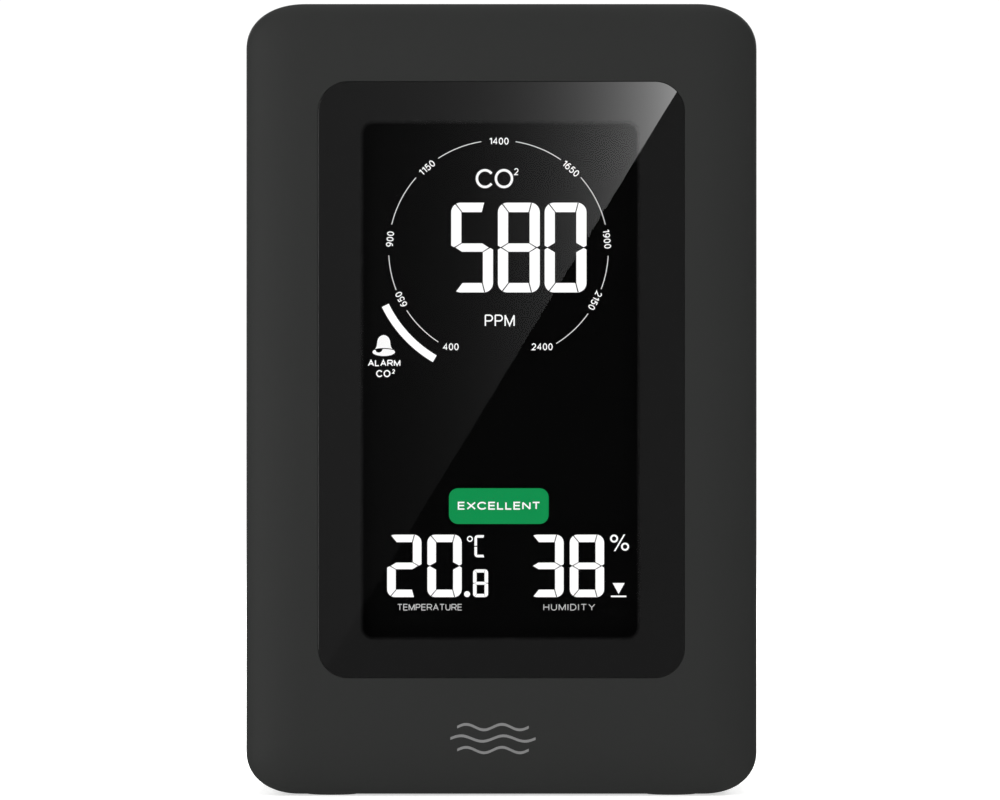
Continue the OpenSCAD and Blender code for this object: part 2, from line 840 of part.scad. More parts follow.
module switch_flex() {
  color("#d8a13a") translate([switch_flex_x, 0, 0]) flex([
    [y_switch_board - 0.1, cap_z - 1], [y_switch_board - 0.1, cap_z - 6],
    [y_switch_board - 4, cap_z - 9], [y_board_back + 4, cap_z - 10],
    [y_flex_end, cap_z - 11.5]
  ], 9, flex_t);
}

// Cap with a stepped top, a flange that holds it behind the wall and a stem
module button(i) {
  color("#2c2d2f") translate([cap_x[i], 0, cap_z]) {
    between(y_flange + flange_t - eps, y_back - cap_sunk - cap_step) pill(cap_w, cap_h);
    between(y_back - cap_sunk - cap_step - eps, y_back - cap_sunk)
      pill(cap_w - 2 * cap_step, cap_h - 2 * cap_step);
    between(y_flange, y_flange + flange_t) pill(cap_w + 2 * flange_out, cap_h + 2 * flange_out);
    rod(0, 0, stem_r, y_plunger_top, y_flange + eps);
  }
}

module plunger(i) {
  color("#d8d4c8") rod(cap_x[i], cap_z, plunger_r, y_switch_top - plunger_in, y_plunger_top);
}

module button_power() { button(0); }
module button_mode() { button(1); }
module button_up() { button(2); }
module button_down() { button(3); }
module plunger_power() { plunger(0); }
module plunger_mode() { plunger(1); }
module plunger_up() { plunger(2); }
module plunger_down() { plunger(3); }

module housing_screws() {
  color("#8d9094") for (x = [-1, 1], z = corner_z)
    translate([x * corner_x, y_corner_joint + corner_seat, z]) rotate([-90, 0, 0])
      screw(2, 1.4, corner_pilot_r - screw_gap, 11);
}

module board_screws() {
  color("#8d9094") for (x = [-1, 1], z = board_hole_z)
    translate([x * board_hole_x, y_board_back, z]) rotate([-90, 0, 0])
      screw(1.9, 1.2, pilot_r - screw_gap, 6);
}

module switch_board_screws() {
  color("#8d9094") for (x = [-1, 1])
    translate([x * switch_post_x, y_switch_board, cap_z]) rotate([90, 0, 0])
      screw(1.9, 1.2, pilot_r - screw_gap, 5);
}

module usb_board_screws() {
  color("#8d9094") for (x = [-1, 1])
    translate([x * usb_post_x, y_usb_post, usb_seat_z])
      screw(1.8, 1.1, pilot_r - screw_gap, 4);
}

module rubber_feet() {
  color("#1c1c1c") for (x = [-1, 1], y = foot_y) translate([x * foot_x, y, 0])
    cylinder(r = foot_r, h = foot_t);
}

front_housing();
rear_housing();
display_lens();
lens_tape();
lcd_front_polariser();
lcd_front_glass();
lcd_rear_glass();
lcd_rear_polariser();
diffuser_film();
light_guide();
backlight_tray();
backlight_flex();
backlight_leds();
display_carrier();
zebra_strip();
main_board();
mcu_chip();
power_chips();
board_passives();
clock_crystal();
buzzer();
flex_connectors();
battery_connector();
co2_sensor_board();
co2_optical_chamber();
co2_filter();
co2_header_pins();
climate_board();
climate_chip();
climate_flex();
vent_filter();
battery_cell();
battery_tape();
battery_leads();
battery_plug();
usb_board();
usb_shell();
usb_tongue();
usb_gasket();
usb_flex();
switch_board();
switch_bodies();
switch_flex();
button_power();
button_mode();
button_up();
button_down();
plunger_power();
plunger_mode();
plunger_up();
plunger_down();
housing_screws();
board_screws();
switch_board_screws();
usb_board_screws();
rubber_feet();
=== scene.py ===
"""Desk carbon dioxide monitor: its visible pieces and every finish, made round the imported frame.

Sizes are in millimetres until a mesh is made. X runs to the right, Z upwards, and the display faces -Y.
"""

import logging
import math
from collections.abc import Callable, Sequence
from dataclasses import dataclass
from enum import Enum
from functools import cache

import bmesh
import bpy
import numpy as np
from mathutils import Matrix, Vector
from mathutils.geometry import tessellate_polygon


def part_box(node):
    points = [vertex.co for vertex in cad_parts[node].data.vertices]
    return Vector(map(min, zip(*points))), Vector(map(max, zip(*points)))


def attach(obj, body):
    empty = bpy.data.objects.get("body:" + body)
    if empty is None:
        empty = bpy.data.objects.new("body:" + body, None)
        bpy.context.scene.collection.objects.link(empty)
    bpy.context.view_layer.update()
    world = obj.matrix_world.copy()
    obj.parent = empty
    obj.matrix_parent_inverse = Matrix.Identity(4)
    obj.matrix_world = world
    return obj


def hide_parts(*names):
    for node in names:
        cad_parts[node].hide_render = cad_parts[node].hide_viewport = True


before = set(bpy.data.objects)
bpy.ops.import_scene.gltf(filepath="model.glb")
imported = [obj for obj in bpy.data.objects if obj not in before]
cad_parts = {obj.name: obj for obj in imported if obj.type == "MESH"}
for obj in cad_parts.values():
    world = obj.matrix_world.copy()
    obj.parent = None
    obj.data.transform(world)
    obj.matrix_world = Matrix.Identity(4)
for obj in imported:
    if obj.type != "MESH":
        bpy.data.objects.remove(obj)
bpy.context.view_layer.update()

MM = 0.001
QUARTER = math.pi / 2
HOUSING = "housing"
log = logging.getLogger("monitor")

Loop = np.ndarray
Ring = np.ndarray


class Plane(Enum):
    """The plane that a loop is drawn in.

    FRONT holds x and z at one depth, and PLAN holds x and y at one height.
    """

    FRONT = (0, 2, 1)
    PLAN = (0, 1, 2)


class Pattern(Enum):
    """The kinds of surface pattern that a finish may carry."""

    GRAIN = "grain"
    BRUSHED = "brushed"
    WEAVE = "weave"
    TRACKS = "tracks"
    FIBRES = "fibres"


class Glyph(Enum):
    """The mark printed on a push key."""

    POWER = "power"
    MODE = "mode"
    UP = "up"
    DOWN = "down"


# ---------------------------------------------------------------- shader helpers


MIX_FACTOR, MIX_A, MIX_B, MIX_RESULT = 0, 6, 7, 2
SHARPEST = 0.3


def linear(code: str) -> tuple[float, float, float, float]:
    """Turns an sRGB hex colour into linear light.

    A channel up to 0.04045 is divided by 12.92; above that it is ((c + 0.055) / 1.055) to the power 2.4.

    Args:
        code: the colour as a hash and six hex digits.

    Returns:
        The red, green and blue of linear light, with an alpha of one.
    """
    channels = np.array([int(code[i:i + 2], 16) for i in (1, 3, 5)]) / 255
    flat = np.where(channels <= 0.04045, channels / 12.92, ((channels + 0.055) / 1.055) ** 2.4)
    return (*flat.tolist(), 1.0)


def per_metre(size_mm: float) -> float:
    """Returns the texture scale at which one feature of a pattern is size_mm across."""
    return 1000.0 / size_mm


def put(
    tree: bpy.types.NodeTree, kind: str, inputs: dict | None = None, **settings: object,
) -> bpy.types.Node:
    """Adds a node to a tree, with its settings, its values and its links.

    Args:
        tree: the node tree that gets the node.
        kind: the node's type name.
        inputs: a value or an output socket for each input, by name or place.
        **settings: the node's own properties, set before its inputs.

    Returns:
        The new node.
    """
    node = tree.nodes.new(kind)
    for key, value in settings.items():
        setattr(node, key, value)
    for key, value in (inputs or {}).items():
        if isinstance(value, bpy.types.NodeSocket):
            tree.links.new(value, node.inputs[key])
        else:
            node.inputs[key].default_value = value
    return node


def empty_material(name: str) -> tuple[bpy.types.Material, bpy.types.NodeTree]:
    """Makes a material that has no nodes yet.

    Args:
        name: its name.

    Returns:
        The material and its node tree.
    """
    material = bpy.data.materials.new(name)
    material.use_nodes = True
    material.node_tree.nodes.clear()
    return material, material.node_tree


@dataclass(frozen=True)
class Finish:
    """A finish: the name of its real material, and the way that it is shaded."""

    name: str

    def surface(self, tree: bpy.types.NodeTree) -> bpy.types.NodeSocket:
        """Adds this finish's nodes to a tree and returns the shader socket that they end in."""
        raise NotImplementedError


@cache
def material_of(finish: Finish) -> bpy.types.Material:
    """Makes the Blender material of a finish, once.

    Args:
        finish: the finish to make.

    Returns:
        The material, the same one each time for the same finish.
    """
    material, tree = empty_material(finish.name)
    put(tree, "ShaderNodeOutputMaterial", {"Surface": finish.surface(tree)})
    return material


@dataclass(frozen=True)
class Textured(Finish):
    """A solid finish whose tone, roughness and relief follow one pattern, in the object's coordinates."""

    colour: str
    tone: str
    pattern: Pattern
    size_mm: float
    relief_mm: float
    rough: tuple[float, float]
    cloud_mm: float = 30.0
    metallic: float = 0.0
    ior: float = 1.5
    specular: float = 0.5
    coat: float = 0.0
    sheen: float = 0.0
    clear: float = 0.0

    def height(self, tree: bpy.types.NodeTree, place: bpy.types.NodeSocket) -> bpy.types.NodeSocket:
        """Adds the pattern's texture.

        Args:
            tree: the node tree.
            place: the coordinates that the pattern reads.

        Returns:
            The pattern as a value from nought to one.
        """
        scale = per_metre(self.size_mm)
        if self.pattern is Pattern.BRUSHED:
            long_way = put(tree, "ShaderNodeMapping", {"Vector": place, "Scale": (0.06, 1.0, 1.0)})
            return put(tree, "ShaderNodeTexNoise", {"Vector": long_way.outputs[0], "Scale": scale,
                                                    "Detail": 3.0}).outputs[0]
        if self.pattern is Pattern.WEAVE:
            across = put(tree, "ShaderNodeTexWave", {"Vector": place, "Scale": scale / 3, "Distortion": 0.4},
                         bands_direction="X")
            down = put(tree, "ShaderNodeTexWave", {"Vector": place, "Scale": scale / 3, "Distortion": 0.4},
                       bands_direction="Z")
            return put(tree, "ShaderNodeMath", {0: across.outputs[1], 1: down.outputs[1]},
                       operation="MULTIPLY").outputs[0]
        if self.pattern is Pattern.TRACKS:
            upright = put(tree, "ShaderNodeMapping", {"Vector": place, "Rotation": (QUARTER, 0.0, 0.0)})
            return put(tree, "ShaderNodeTexBrick", {"Vector": upright.outputs[0], "Scale": scale,
                                                    "Mortar Size": 0.06, "Brick Width": 3.0,
                                                    "Row Height": 1.0}).outputs[1]
        if self.pattern is Pattern.FIBRES:
            return put(tree, "ShaderNodeTexNoise", {"Vector": place, "Scale": scale, "Detail": 4.0,
                                                    "Distortion": 3.0}).outputs[0]
        return put(tree, "ShaderNodeTexNoise", {"Vector": place, "Scale": scale, "Detail": 2.0,
                                                "Roughness": 0.6}).outputs[0]

    def surface(self, tree: bpy.types.NodeTree) -> bpy.types.NodeSocket:
        """Adds the finish's nodes and returns the shader socket that they end in."""
        place = put(tree, "ShaderNodeTexCoord").outputs["Object"]
        height = self.height(tree, place)
        cloud = put(tree, "ShaderNodeTexNoise", {"Vector": place, "Scale": per_metre(self.cloud_mm)})
        blend = put(tree, "ShaderNodeMath", {0: height, 1: cloud.outputs[0]}, operation="MULTIPLY")
        tone = put(tree, "ShaderNodeMix", {MIX_FACTOR: blend.outputs[0], MIX_A: linear(self.colour),
                                           MIX_B: linear(self.tone)}, data_type="RGBA")
        rough = put(tree, "ShaderNodeMapRange", {"Value": height, "To Min": self.rough[0],
                                                 "To Max": self.rough[1]})
        relief = put(tree, "ShaderNodeBump", {"Height": height, "Distance": self.relief_mm * MM})
        shader = put(tree, "ShaderNodeBsdfPrincipled", {
            "Base Color": tone.outputs[MIX_RESULT], "Roughness": rough.outputs[0],
            "Normal": relief.outputs[0], "Metallic": self.metallic, "IOR": self.ior,
            "Specular IOR Level": self.specular, "Coat Weight": self.coat, "Sheen Weight": self.sheen,
            "Transmission Weight": self.clear,
        })
        return shader.outputs[0]


@dataclass(frozen=True)
class PrintedLens(Finish):
    """Clear acrylic over a dark printed border, with a rounded window left clear in the print."""

    border: str
    speck: str
    window: tuple[float, float]
    centre: tuple[float, float]
    corner: float
    fade: float
    ior: float = 1.5
    window_ior: float = 1.43
    dust_mm: float = 6.0
    wiped: float = 0.006

    def window_part(self, tree: bpy.types.NodeTree, place: bpy.types.NodeSocket) -> bpy.types.NodeSocket:
        """Adds the distance from the window's rounded edge and turns it into a soft mask.

        The distance is that to a rectangle drawn in by its corner radius, less that radius: the length of
        what is over the half sizes, with nothing below nought.

        Args:
            tree: the node tree.
            place: the object's own coordinates, in metres.

        Returns:
            One inside the window and nought on the border.
        """
        axes = put(tree, "ShaderNodeSeparateXYZ", {"Vector": place})
        over = []
        for axis, half, middle in zip((0, 2), self.window, self.centre):
            shift = put(tree, "ShaderNodeMath", {0: axes.outputs[axis], 1: middle * MM},
                        operation="SUBTRACT")
            size = put(tree, "ShaderNodeMath", {0: shift.outputs[0]}, operation="ABSOLUTE")
            rest = put(tree, "ShaderNodeMath", {0: size.outputs[0], 1: (half / 2 - self.corner) * MM},
                       operation="SUBTRACT")
            beyond = put(tree, "ShaderNodeMath", {0: rest.outputs[0], 1: 0.0}, operation="MAXIMUM")
            over.append(beyond.outputs[0])
        reach = put(tree, "ShaderNodeCombineXYZ", {"X": over[0], "Y": over[1]})
        length = put(tree, "ShaderNodeVectorMath", {0: reach.outputs[0]}, operation="LENGTH")
        return put(tree, "ShaderNodeMapRange", {
            "Value": length.outputs["Value"], "From Min": (self.corner - self.fade / 2) * MM,
            "From Max": (self.corner + self.fade / 2) * MM, "To Min": 1.0, "To Max": 0.0,
        }, interpolation_type="SMOOTHSTEP").outputs[0]

    def surface(self, tree: bpy.types.NodeTree) -> bpy.types.NodeSocket:
        """Adds the lens's nodes and returns the shader socket that they end in."""
        place = put(tree, "ShaderNodeTexCoord").outputs["Object"]
        dust = put(tree, "ShaderNodeTexNoise", {"Vector": place, "Scale": per_metre(self.dust_mm),
                                                "Detail": 3.0})
        ink = put(tree, "ShaderNodeMix", {MIX_FACTOR: dust.outputs[0], MIX_A: linear(self.border),
                                          MIX_B: linear(self.speck)}, data_type="RGBA")
        wiped = put(tree, "ShaderNodeMapRange", {"Value": dust.outputs[0], "To Min": 0.0,
                                                 "To Max": self.wiped})
        border = put(tree, "ShaderNodeBsdfPrincipled", {
            "Base Color": ink.outputs[MIX_RESULT], "Roughness": wiped.outputs[0], "IOR": self.ior})
        clear = put(tree, "ShaderNodeBsdfTransparent")
        gloss = put(tree, "ShaderNodeBsdfAnisotropic", {"Roughness": 0.0})
        edge_on = put(tree, "ShaderNodeFresnel", {"IOR": self.window_ior})
        inner = put(tree, "ShaderNodeNewGeometry").outputs["Backfacing"]
        front = put(tree, "ShaderNodeMath", {0: 1.0, 1: inner}, operation="SUBTRACT")
        shine = put(tree, "ShaderNodeMath", {0: edge_on.outputs[0], 1: front.outputs[0]},
                    operation="MULTIPLY")
        window = put(tree, "ShaderNodeMixShader", {0: shine.outputs[0], 1: clear.outputs[0],
                                                   2: gloss.outputs[0]})
        mask = self.window_part(tree, place)
        lens = put(tree, "ShaderNodeMixShader", {0: mask, 1: border.outputs[0], 2: window.outputs[0]})
        return lens.outputs[0]


@dataclass(frozen=True)
class Backlit(Finish):
    """A lit part of the display: light from the guide behind, a little uneven from lamp to lamp."""

    colour: str
    strength: float
    uneven: float = 0.06
    lamp_mm: float = 9.0

    def surface(self, tree: bpy.types.NodeTree) -> bpy.types.NodeSocket:
        """Adds the lit part's nodes and returns the shader socket that they end in."""
        place = put(tree, "ShaderNodeTexCoord").outputs["Object"]
        lamps = put(tree, "ShaderNodeTexNoise", {"Vector": place, "Scale": per_metre(self.lamp_mm)})
        level = put(tree, "ShaderNodeMapRange", {"Value": lamps.outputs[0],
                                                 "To Min": self.strength * (1 - self.uneven),
                                                 "To Max": self.strength * (1 + self.uneven)})
        return put(tree, "ShaderNodeBsdfPrincipled", {
            "Base Color": linear("#0a0a0a"), "Roughness": 0.6, "Specular IOR Level": 0.0,
            "Emission Color": linear(self.colour), "Emission Strength": level.outputs[0]}).outputs[0]


# ---------------------------------------------------------------- finishes


# Moulded ABS from a spark-eroded tool: an even, soft charcoal that no light turns shiny. The real texture is
# about 0.1 mm, too fine to show, so it is drawn at 0.5 mm.
ABS = Textured("moulded ABS, charcoal", "#1f201f", "#232423", Pattern.GRAIN, 0.5, 0.012, (0.62, 0.72),
               ior=1.53,
               specular=0.25)
# The rear housing is the same ABS from a second tool, a touch cooler and rougher.
ABS_REAR = Textured("moulded ABS, charcoal rear", "#1f2021", "#232324", Pattern.GRAIN, 0.55, 0.016,
                    (0.64, 0.76), ior=1.53, specular=0.25)
# ABS key caps from a polished tool: a shade darker and smoother than the housing round them.
KEY_ABS = Textured("satin ABS, black", "#171718", "#1b1b1d", Pattern.GRAIN, 0.35, 0.006, (0.36, 0.46),
                   ior=1.53,
                   specular=0.4)
# Pad-printed ink: flat light grey with the faint speckle of a thin film over a texture.
PRINT = Textured("pad printing ink, grey", "#757575", "#696969", Pattern.GRAIN, 0.3, 0.004, (0.55, 0.7))
KEY_PRINT = Textured("pad printing ink, white", "#c9c9c9", "#b4b4b4", Pattern.GRAIN, 0.3, 0.004,
                     (0.5, 0.65))
# Front film of the display: nearly black, and it gives back almost no light.
POLARISER = Textured("polarising film", "#050505", "#070707", Pattern.GRAIN, 1.2, 0.0, (0.5, 0.6),
                     specular=0.0)
# Thermoplastic rubber of the feet: a dull black with a slight bloom.
RUBBER = Textured("thermoplastic rubber, black", "#161616", "#262626", Pattern.GRAIN, 0.6, 0.02, (0.7, 0.9))
# Silicone gasket: softer and greyer than the feet, with a faint sheen.
SILICONE = Textured("silicone rubber, dark grey", "#242425", "#2e2e2f", Pattern.GRAIN, 0.8, 0.01,
                    (0.45, 0.6),
                    sheen=0.15)
# Deep-drawn steel with nickel plating: bright, with faint drawing lines along the depth.
NICKEL = Textured("nickel-plated steel, drawn", "#b9bbbd", "#d7d8da", Pattern.BRUSHED, 0.12, 0.002,
                  (0.18, 0.3),
                  metallic=1.0)
# Zinc-plated screws: greyer and softer than the nickel.
ZINC = Textured("zinc-plated steel", "#8f9296", "#b3b6ba", Pattern.GRAIN, 0.2, 0.006, (0.3, 0.42),
                metallic=1.0)
# Flash gold over nickel: the warm yellow of contact pads.
GOLD = Textured("flash gold plating", "#d9a441", "#e6bd68", Pattern.GRAIN, 0.25, 0.002, (0.2, 0.32),
                metallic=1.0)
# Needled polyester felt: a dull dark mat of loose fibres.
FELT = Textured("polyester felt, dark", "#121213", "#3a3a3b", Pattern.FIBRES, 0.7, 0.12, (0.85, 0.98),
                sheen=0.4)
# Glass-filled nylon of the socket tongue: flat black.
NYLON = Textured("glass-filled nylon, black", "#121214", "#232326", Pattern.FIBRES, 0.3, 0.004, (0.45, 0.6))
# Epoxy solder mask over copper tracks: glossy green with fine raised lines.
SOLDER_MASK = Textured("solder mask, green", "#16512c", "#2a7a45", Pattern.TRACKS, 1.2, 0.03, (0.3, 0.42),
                       coat=0.3)
# Moulded epoxy of the chips: matt black with a fine sand.
EPOXY = Textured("moulded epoxy, black", "#161617", "#242426", Pattern.GRAIN, 0.15, 0.01, (0.5, 0.65))
# Barium titanate ceramic of the capacitors: fired, a dry tan.
CERAMIC = Textured("fired ceramic, tan", "#9a7f5c", "#b59a76", Pattern.GRAIN, 0.2, 0.004, (0.45, 0.6))
# Polyimide flexible circuit: amber film with copper lines inside.
POLYIMIDE = Textured("polyimide film, amber", "#b06a1c", "#d99a3c", Pattern.TRACKS, 0.8, 0.01,
                     (0.25, 0.4), coat=0.4)
# Soda-lime glass of the display cell: clear with a cold edge.
GLASS = Textured("soda-lime glass", "#e9f2ef", "#ffffff", Pattern.GRAIN, 8.0, 0.0, (0.0, 0.03), ior=1.52,
                 clear=1.0)
# Diffuser film: milky polyester.
DIFFUSER = Textured("milky polyester film", "#e8e8e6", "#f7f7f5", Pattern.GRAIN, 0.3, 0.002, (0.6, 0.75))
# Acrylic light guide, dotted on its back: clear and slightly milky.
LIGHT_GUIDE = Textured("dotted acrylic", "#eef2f2", "#ffffff", Pattern.WEAVE, 1.0, 0.01, (0.05, 0.3),
                       ior=1.49,
                       clear=0.9)
# Titanium-white polycarbonate of the tray and lamps: bright and opaque, so that no light is lost.
WHITE_PC = Textured("white polycarbonate", "#e4e4e0", "#f4f4f0", Pattern.GRAIN, 0.4, 0.004, (0.4, 0.55))
# Grey ABS of the display carrier.
CARRIER = Textured("moulded ABS, mid grey", "#5a5c5e", "#66686a", Pattern.GRAIN, 0.5, 0.01, (0.45, 0.6))
# Layered silicone of the contact strip: fine dark and light bands.
ZEBRA = Textured("layered silicone", "#1c1c1e", "#8d8f92", Pattern.WEAVE, 0.3, 0.004, (0.5, 0.65))
# Aluminium laminate of the pouch cell: silver, with the soft print of the foil.
POUCH = Textured("aluminium laminate", "#a4a7ab", "#c3c5c8", Pattern.BRUSHED, 0.6, 0.01, (0.25, 0.4),
                 metallic=0.85)
# Acrylic foam tape: dark, with a fine open cell.
FOAM = Textured("acrylic foam", "#202022", "#323234", Pattern.FIBRES, 0.4, 0.03, (0.85, 0.95))
# Red PVC over the cell's leads.
PVC = Textured("soft PVC", "#8e1c1c", "#b02a2a", Pattern.GRAIN, 0.5, 0.004, (0.3, 0.42))
# Sintered membrane over the gas chamber: white, with open pores.
MEMBRANE = Textured("porous membrane, white", "#c9cac6", "#efefeb", Pattern.FIBRES, 0.25, 0.02, (0.8, 0.95))

# Lit marks of the display. White marks clip to full white; the fine ones are a little softer.
LIT_WHITE = Backlit("lit display, white", "#ffffff", 1.06, 0.02)
LIT_FINE = Backlit("lit display, fine lines", "#ffffff", 0.75)
LIT_TEXT = Backlit("lit display, lettering", "#ffffff", 1.0)
LIT_CAPTION = Backlit("lit display, captions", "#ffffff", 0.6)
LIT_GREEN = Backlit("lit display, green ink", "#0c8f4d", 1.0, 0.04)


# ---------------------------------------------------------------- loops and forms


def box_mm(node: str) -> tuple[np.ndarray, np.ndarray]:
    """Returns the lowest and highest corner of a CAD node, in millimetres."""
    low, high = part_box(node)
    return np.array(low) / MM, np.array(high) / MM


def front_view(node: str) -> tuple[tuple[float, float], tuple[float, float], tuple[float, float]]:
    """A CAD node on the object's centre line, as it is seen from the front.

    Args:
        node: the node's name.

    Returns:
        Its middle as x and z, its width and height, and its nearest and farthest depth, in millimetres.
    """
    low, high = box_mm(node)
    return (0.0, (low[2] + high[2]) / 2), (high[0] - low[0], high[2] - low[2]), (low[1], high[1])


def arc(centre: tuple[float, float], radius: float, start: float, end: float, steps: int) -> Loop:
    """Points on an arc: the centre plus the radius times the cosine and sine of an even run of angles.

    Args:
        centre: the arc's middle.
        radius: its radius.
        start: the first angle in degrees, counter-clockwise from the right.
        end: the last angle in degrees.
        steps: how many steps the arc is cut into.

    Returns:
        An array of steps + 1 points.
    """
    turn = np.radians(np.linspace(start, end, steps + 1))
    return np.column_stack([centre[0] + radius * np.cos(turn), centre[1] + radius * np.sin(turn)])


def circle(centre: tuple[float, float], radius: float, steps: int = 40) -> Loop:
    """Returns the points of a full circle, counter-clockwise."""
    return arc(centre, radius, 0.0, 360.0, steps)[:-1]


def pill(centre: tuple[float, float], width: float, height: float, steps: int = 14) -> Loop:
    """A slot shape: two half circles joined by straight sides.

    Args:
        centre: the middle of the slot.
        width: its whole length along x.
        height: its height, which is twice the end radius.
        steps: steps in each half circle.

    Returns:
        The loop, counter-clockwise.
    """
    reach = (width - height) / 2
    right = arc((centre[0] + reach, centre[1]), height / 2, -90.0, 90.0, steps)
    left = arc((centre[0] - reach, centre[1]), height / 2, 90.0, 270.0, steps)
    return np.vstack([right, left])


def rounded_box(
    centre: tuple[float, float], width: float, height: float, radius: float, steps: int = 24,
) -> Loop:
    """A rectangle with round corners, one quarter circle after another from the right side upwards.

    Args:
        centre: the middle of the rectangle.
        width: its width.
        height: its height.
        radius: the corner radius.
        steps: steps in each corner.

    Returns:
        The loop, counter-clockwise, with steps + 1 points in each corner.
    """
    x, z = width / 2 - radius, height / 2 - radius
    corners = [((x, z), 0.0), ((-x, z), 90.0), ((-x, -z), 180.0), ((x, -z), 270.0)]
    return np.vstack([arc((centre[0] + cx, centre[1] + cz), radius, a, a + 90.0, steps)
                      for (cx, cz), a in corners])


def quarter(radius: float, steps: int, depth: float | None = None) -> list[tuple[float, float]]:
    """A quarter round edge, as pairs of how far it draws in and how far it runs on.

    At angle t the edge is drawn in by radius times (1 - cos t) and has run on by depth times sin t.

    Args:
        radius: how far the edge draws in.
        steps: the number of steps.
        depth: how far it runs on, the same as the radius if not given.

    Returns:
        The pairs, from nothing to the whole of both.
    """
    turn = np.linspace(0, QUARTER, steps + 1)
    return list(zip(radius * (1 - np.cos(turn)), (radius if depth is None else depth) * np.sin(turn)))


def strip(
    centre: tuple[float, float], inner: float, outer: float, start: float, end: float, steps: int = 40,
) -> Loop:
    """A curved band: an outer arc and an inner arc run back, joined at their ends.

    Args:
        centre: the middle of both arcs.
        inner: the inner radius.
        outer: the outer radius.
        start: the first angle in degrees.
        end: the last angle in degrees.
        steps: the steps in each arc.

    Returns:
        The loop of the band.
    """
    return np.vstack([arc(centre, outer, start, end, steps), arc(centre, inner, end, start, steps)])


class Form:
    """One closed surface, gathered ring by ring in millimetres, then made into a piece."""

    def __init__(self, plane: Plane = Plane.FRONT) -> None:
        """Starts an empty form whose loops lie in the given plane."""
        self.plane = plane
        self.blocks: list[np.ndarray] = []
        self.faces: list[Sequence[int]] = []
        self.curved: list[bool] = []
        self.count = 0

    def add(self, points: np.ndarray) -> Ring:
        """Adds points, as rows of x, y and z, and returns their numbers."""
        self.blocks.append(points)
        self.count += len(points)
        return np.arange(self.count - len(points), self.count)

    def ring(self, loop: Loop, level: float | np.ndarray) -> Ring:
        """Adds a loop at one level across its plane.

        Args:
            loop: the points in the plane.
            level: the depth or height of the loop, one for all of it or one for each point.

        Returns:
            The numbers of the new points.
        """
        flat = np.column_stack([loop, np.broadcast_to(level, len(loop))])
        return self.add(flat[:, self.plane.value])

    def extend(self, faces: np.ndarray, curved: bool) -> None:
        """Adds faces, one a row, that are shaded as part of a curved surface or flat."""
        self.faces.extend(faces.tolist())
        self.curved.extend([curved] * len(faces))

    def skin(self, rings: Sequence[Ring], closed: bool = False) -> None:
        """Joins each ring to the next with four-sided faces.

        Args:
            rings: the rings in their order, all of one length.
            closed: whether the last joins the first.
        """
        grid = np.array([*rings, rings[0]] if closed else rings)
        low, high = grid[:-1], grid[1:]
        quads = np.stack([low, np.roll(low, -1, 1), np.roll(high, -1, 1), high], -1)
        self.extend(quads.reshape(-1, 4), True)

    def panel(self, *rings: Ring) -> None:
        """Fills a flat region with triangles.

        Args:
            *rings: the ring round the region, then the ring of each hole in it.
        """
        points = np.vstack(self.blocks)
        first, second = self.plane.value.index(0), self.plane.value.index(1)
        order = np.concatenate(rings)
        loops = [[Vector((*points[i][[first, second]], 0.0)) for i in ring] for ring in rings]
        self.extend(order[np.array(tessellate_polygon(loops))], False)

    def solid(self, rings: Sequence[Ring]) -> None:
        """Joins each ring to the next and fills the first and the last, which closes the surface."""
        self.skin(rings)
        self.panel(rings[0])
        self.panel(rings[-1])

    def pole(self, ring: Ring, point: tuple[float, float, float]) -> None:
        """Closes a ring with a fan of triangles.

        Args:
            ring: the ring.
            point: where the triangles meet, as x, y and z.
        """
        centre = self.add(np.array([point]))
        self.extend(np.column_stack([ring, np.roll(ring, -1), np.full(len(ring), centre[0])]), True)

    def prism(self, loop: Loop, start: float, end: float) -> None:
        """Adds a closed slab.

        Args:
            loop: its outline.
            start: the level of one face.
            end: the level of the other.
        """
        self.solid([self.ring(loop, start), self.ring(loop, end)])

    def tube(self, outer: Loop, inner: Loop, start: float, end: float) -> None:
        """Adds a closed slab with a hole through it.

        Args:
            outer: its outline.
            inner: the hole's outline, with as many points.
            start: the level of one face.
            end: the level of the other.
        """
        self.skin([self.ring(outer, start), self.ring(outer, end), self.ring(inner, end),
                   self.ring(inner, start)], closed=True)

    def stroke(self, line: Loop, weight: float, start: float, end: float) -> None:
        """Adds a line of even width as a closed slab: a band with ends, or a ring if it meets itself.

        Args:
            line: the points of its middle.
            weight: its width.
            start: the level of one face.
            end: the level of the other.
        """
        closed = bool(np.allclose(line[0], line[-1]))
        path = line[:-1] if closed else line
        near, far = shifted(path, weight / 2, closed), shifted(path, -weight / 2, closed)
        if closed:
            self.tube(near, far, start, end)
        else:
            self.prism(np.vstack([near, far[::-1]]), start, end)

    def mesh(self, name: str) -> bpy.types.Mesh:
        """Makes the mesh in metres, with doubles merged and every face turned outwards.

        Args:
            name: the mesh's name.

        Returns:
            The new mesh.
        """
        mesh = bpy.data.meshes.new(name)
        mesh.from_pydata(np.vstack(self.blocks) * MM, [], self.faces)
        mesh.polygons.foreach_set("use_smooth", np.array(self.curved))
        work = bmesh.new()
        work.from_mesh(mesh)
        bmesh.ops.remove_doubles(work, verts=work.verts, dist=1e-7)
        bmesh.ops.recalc_face_normals(work, faces=work.faces)
        work.to_mesh(mesh)
        work.free()
        return mesh


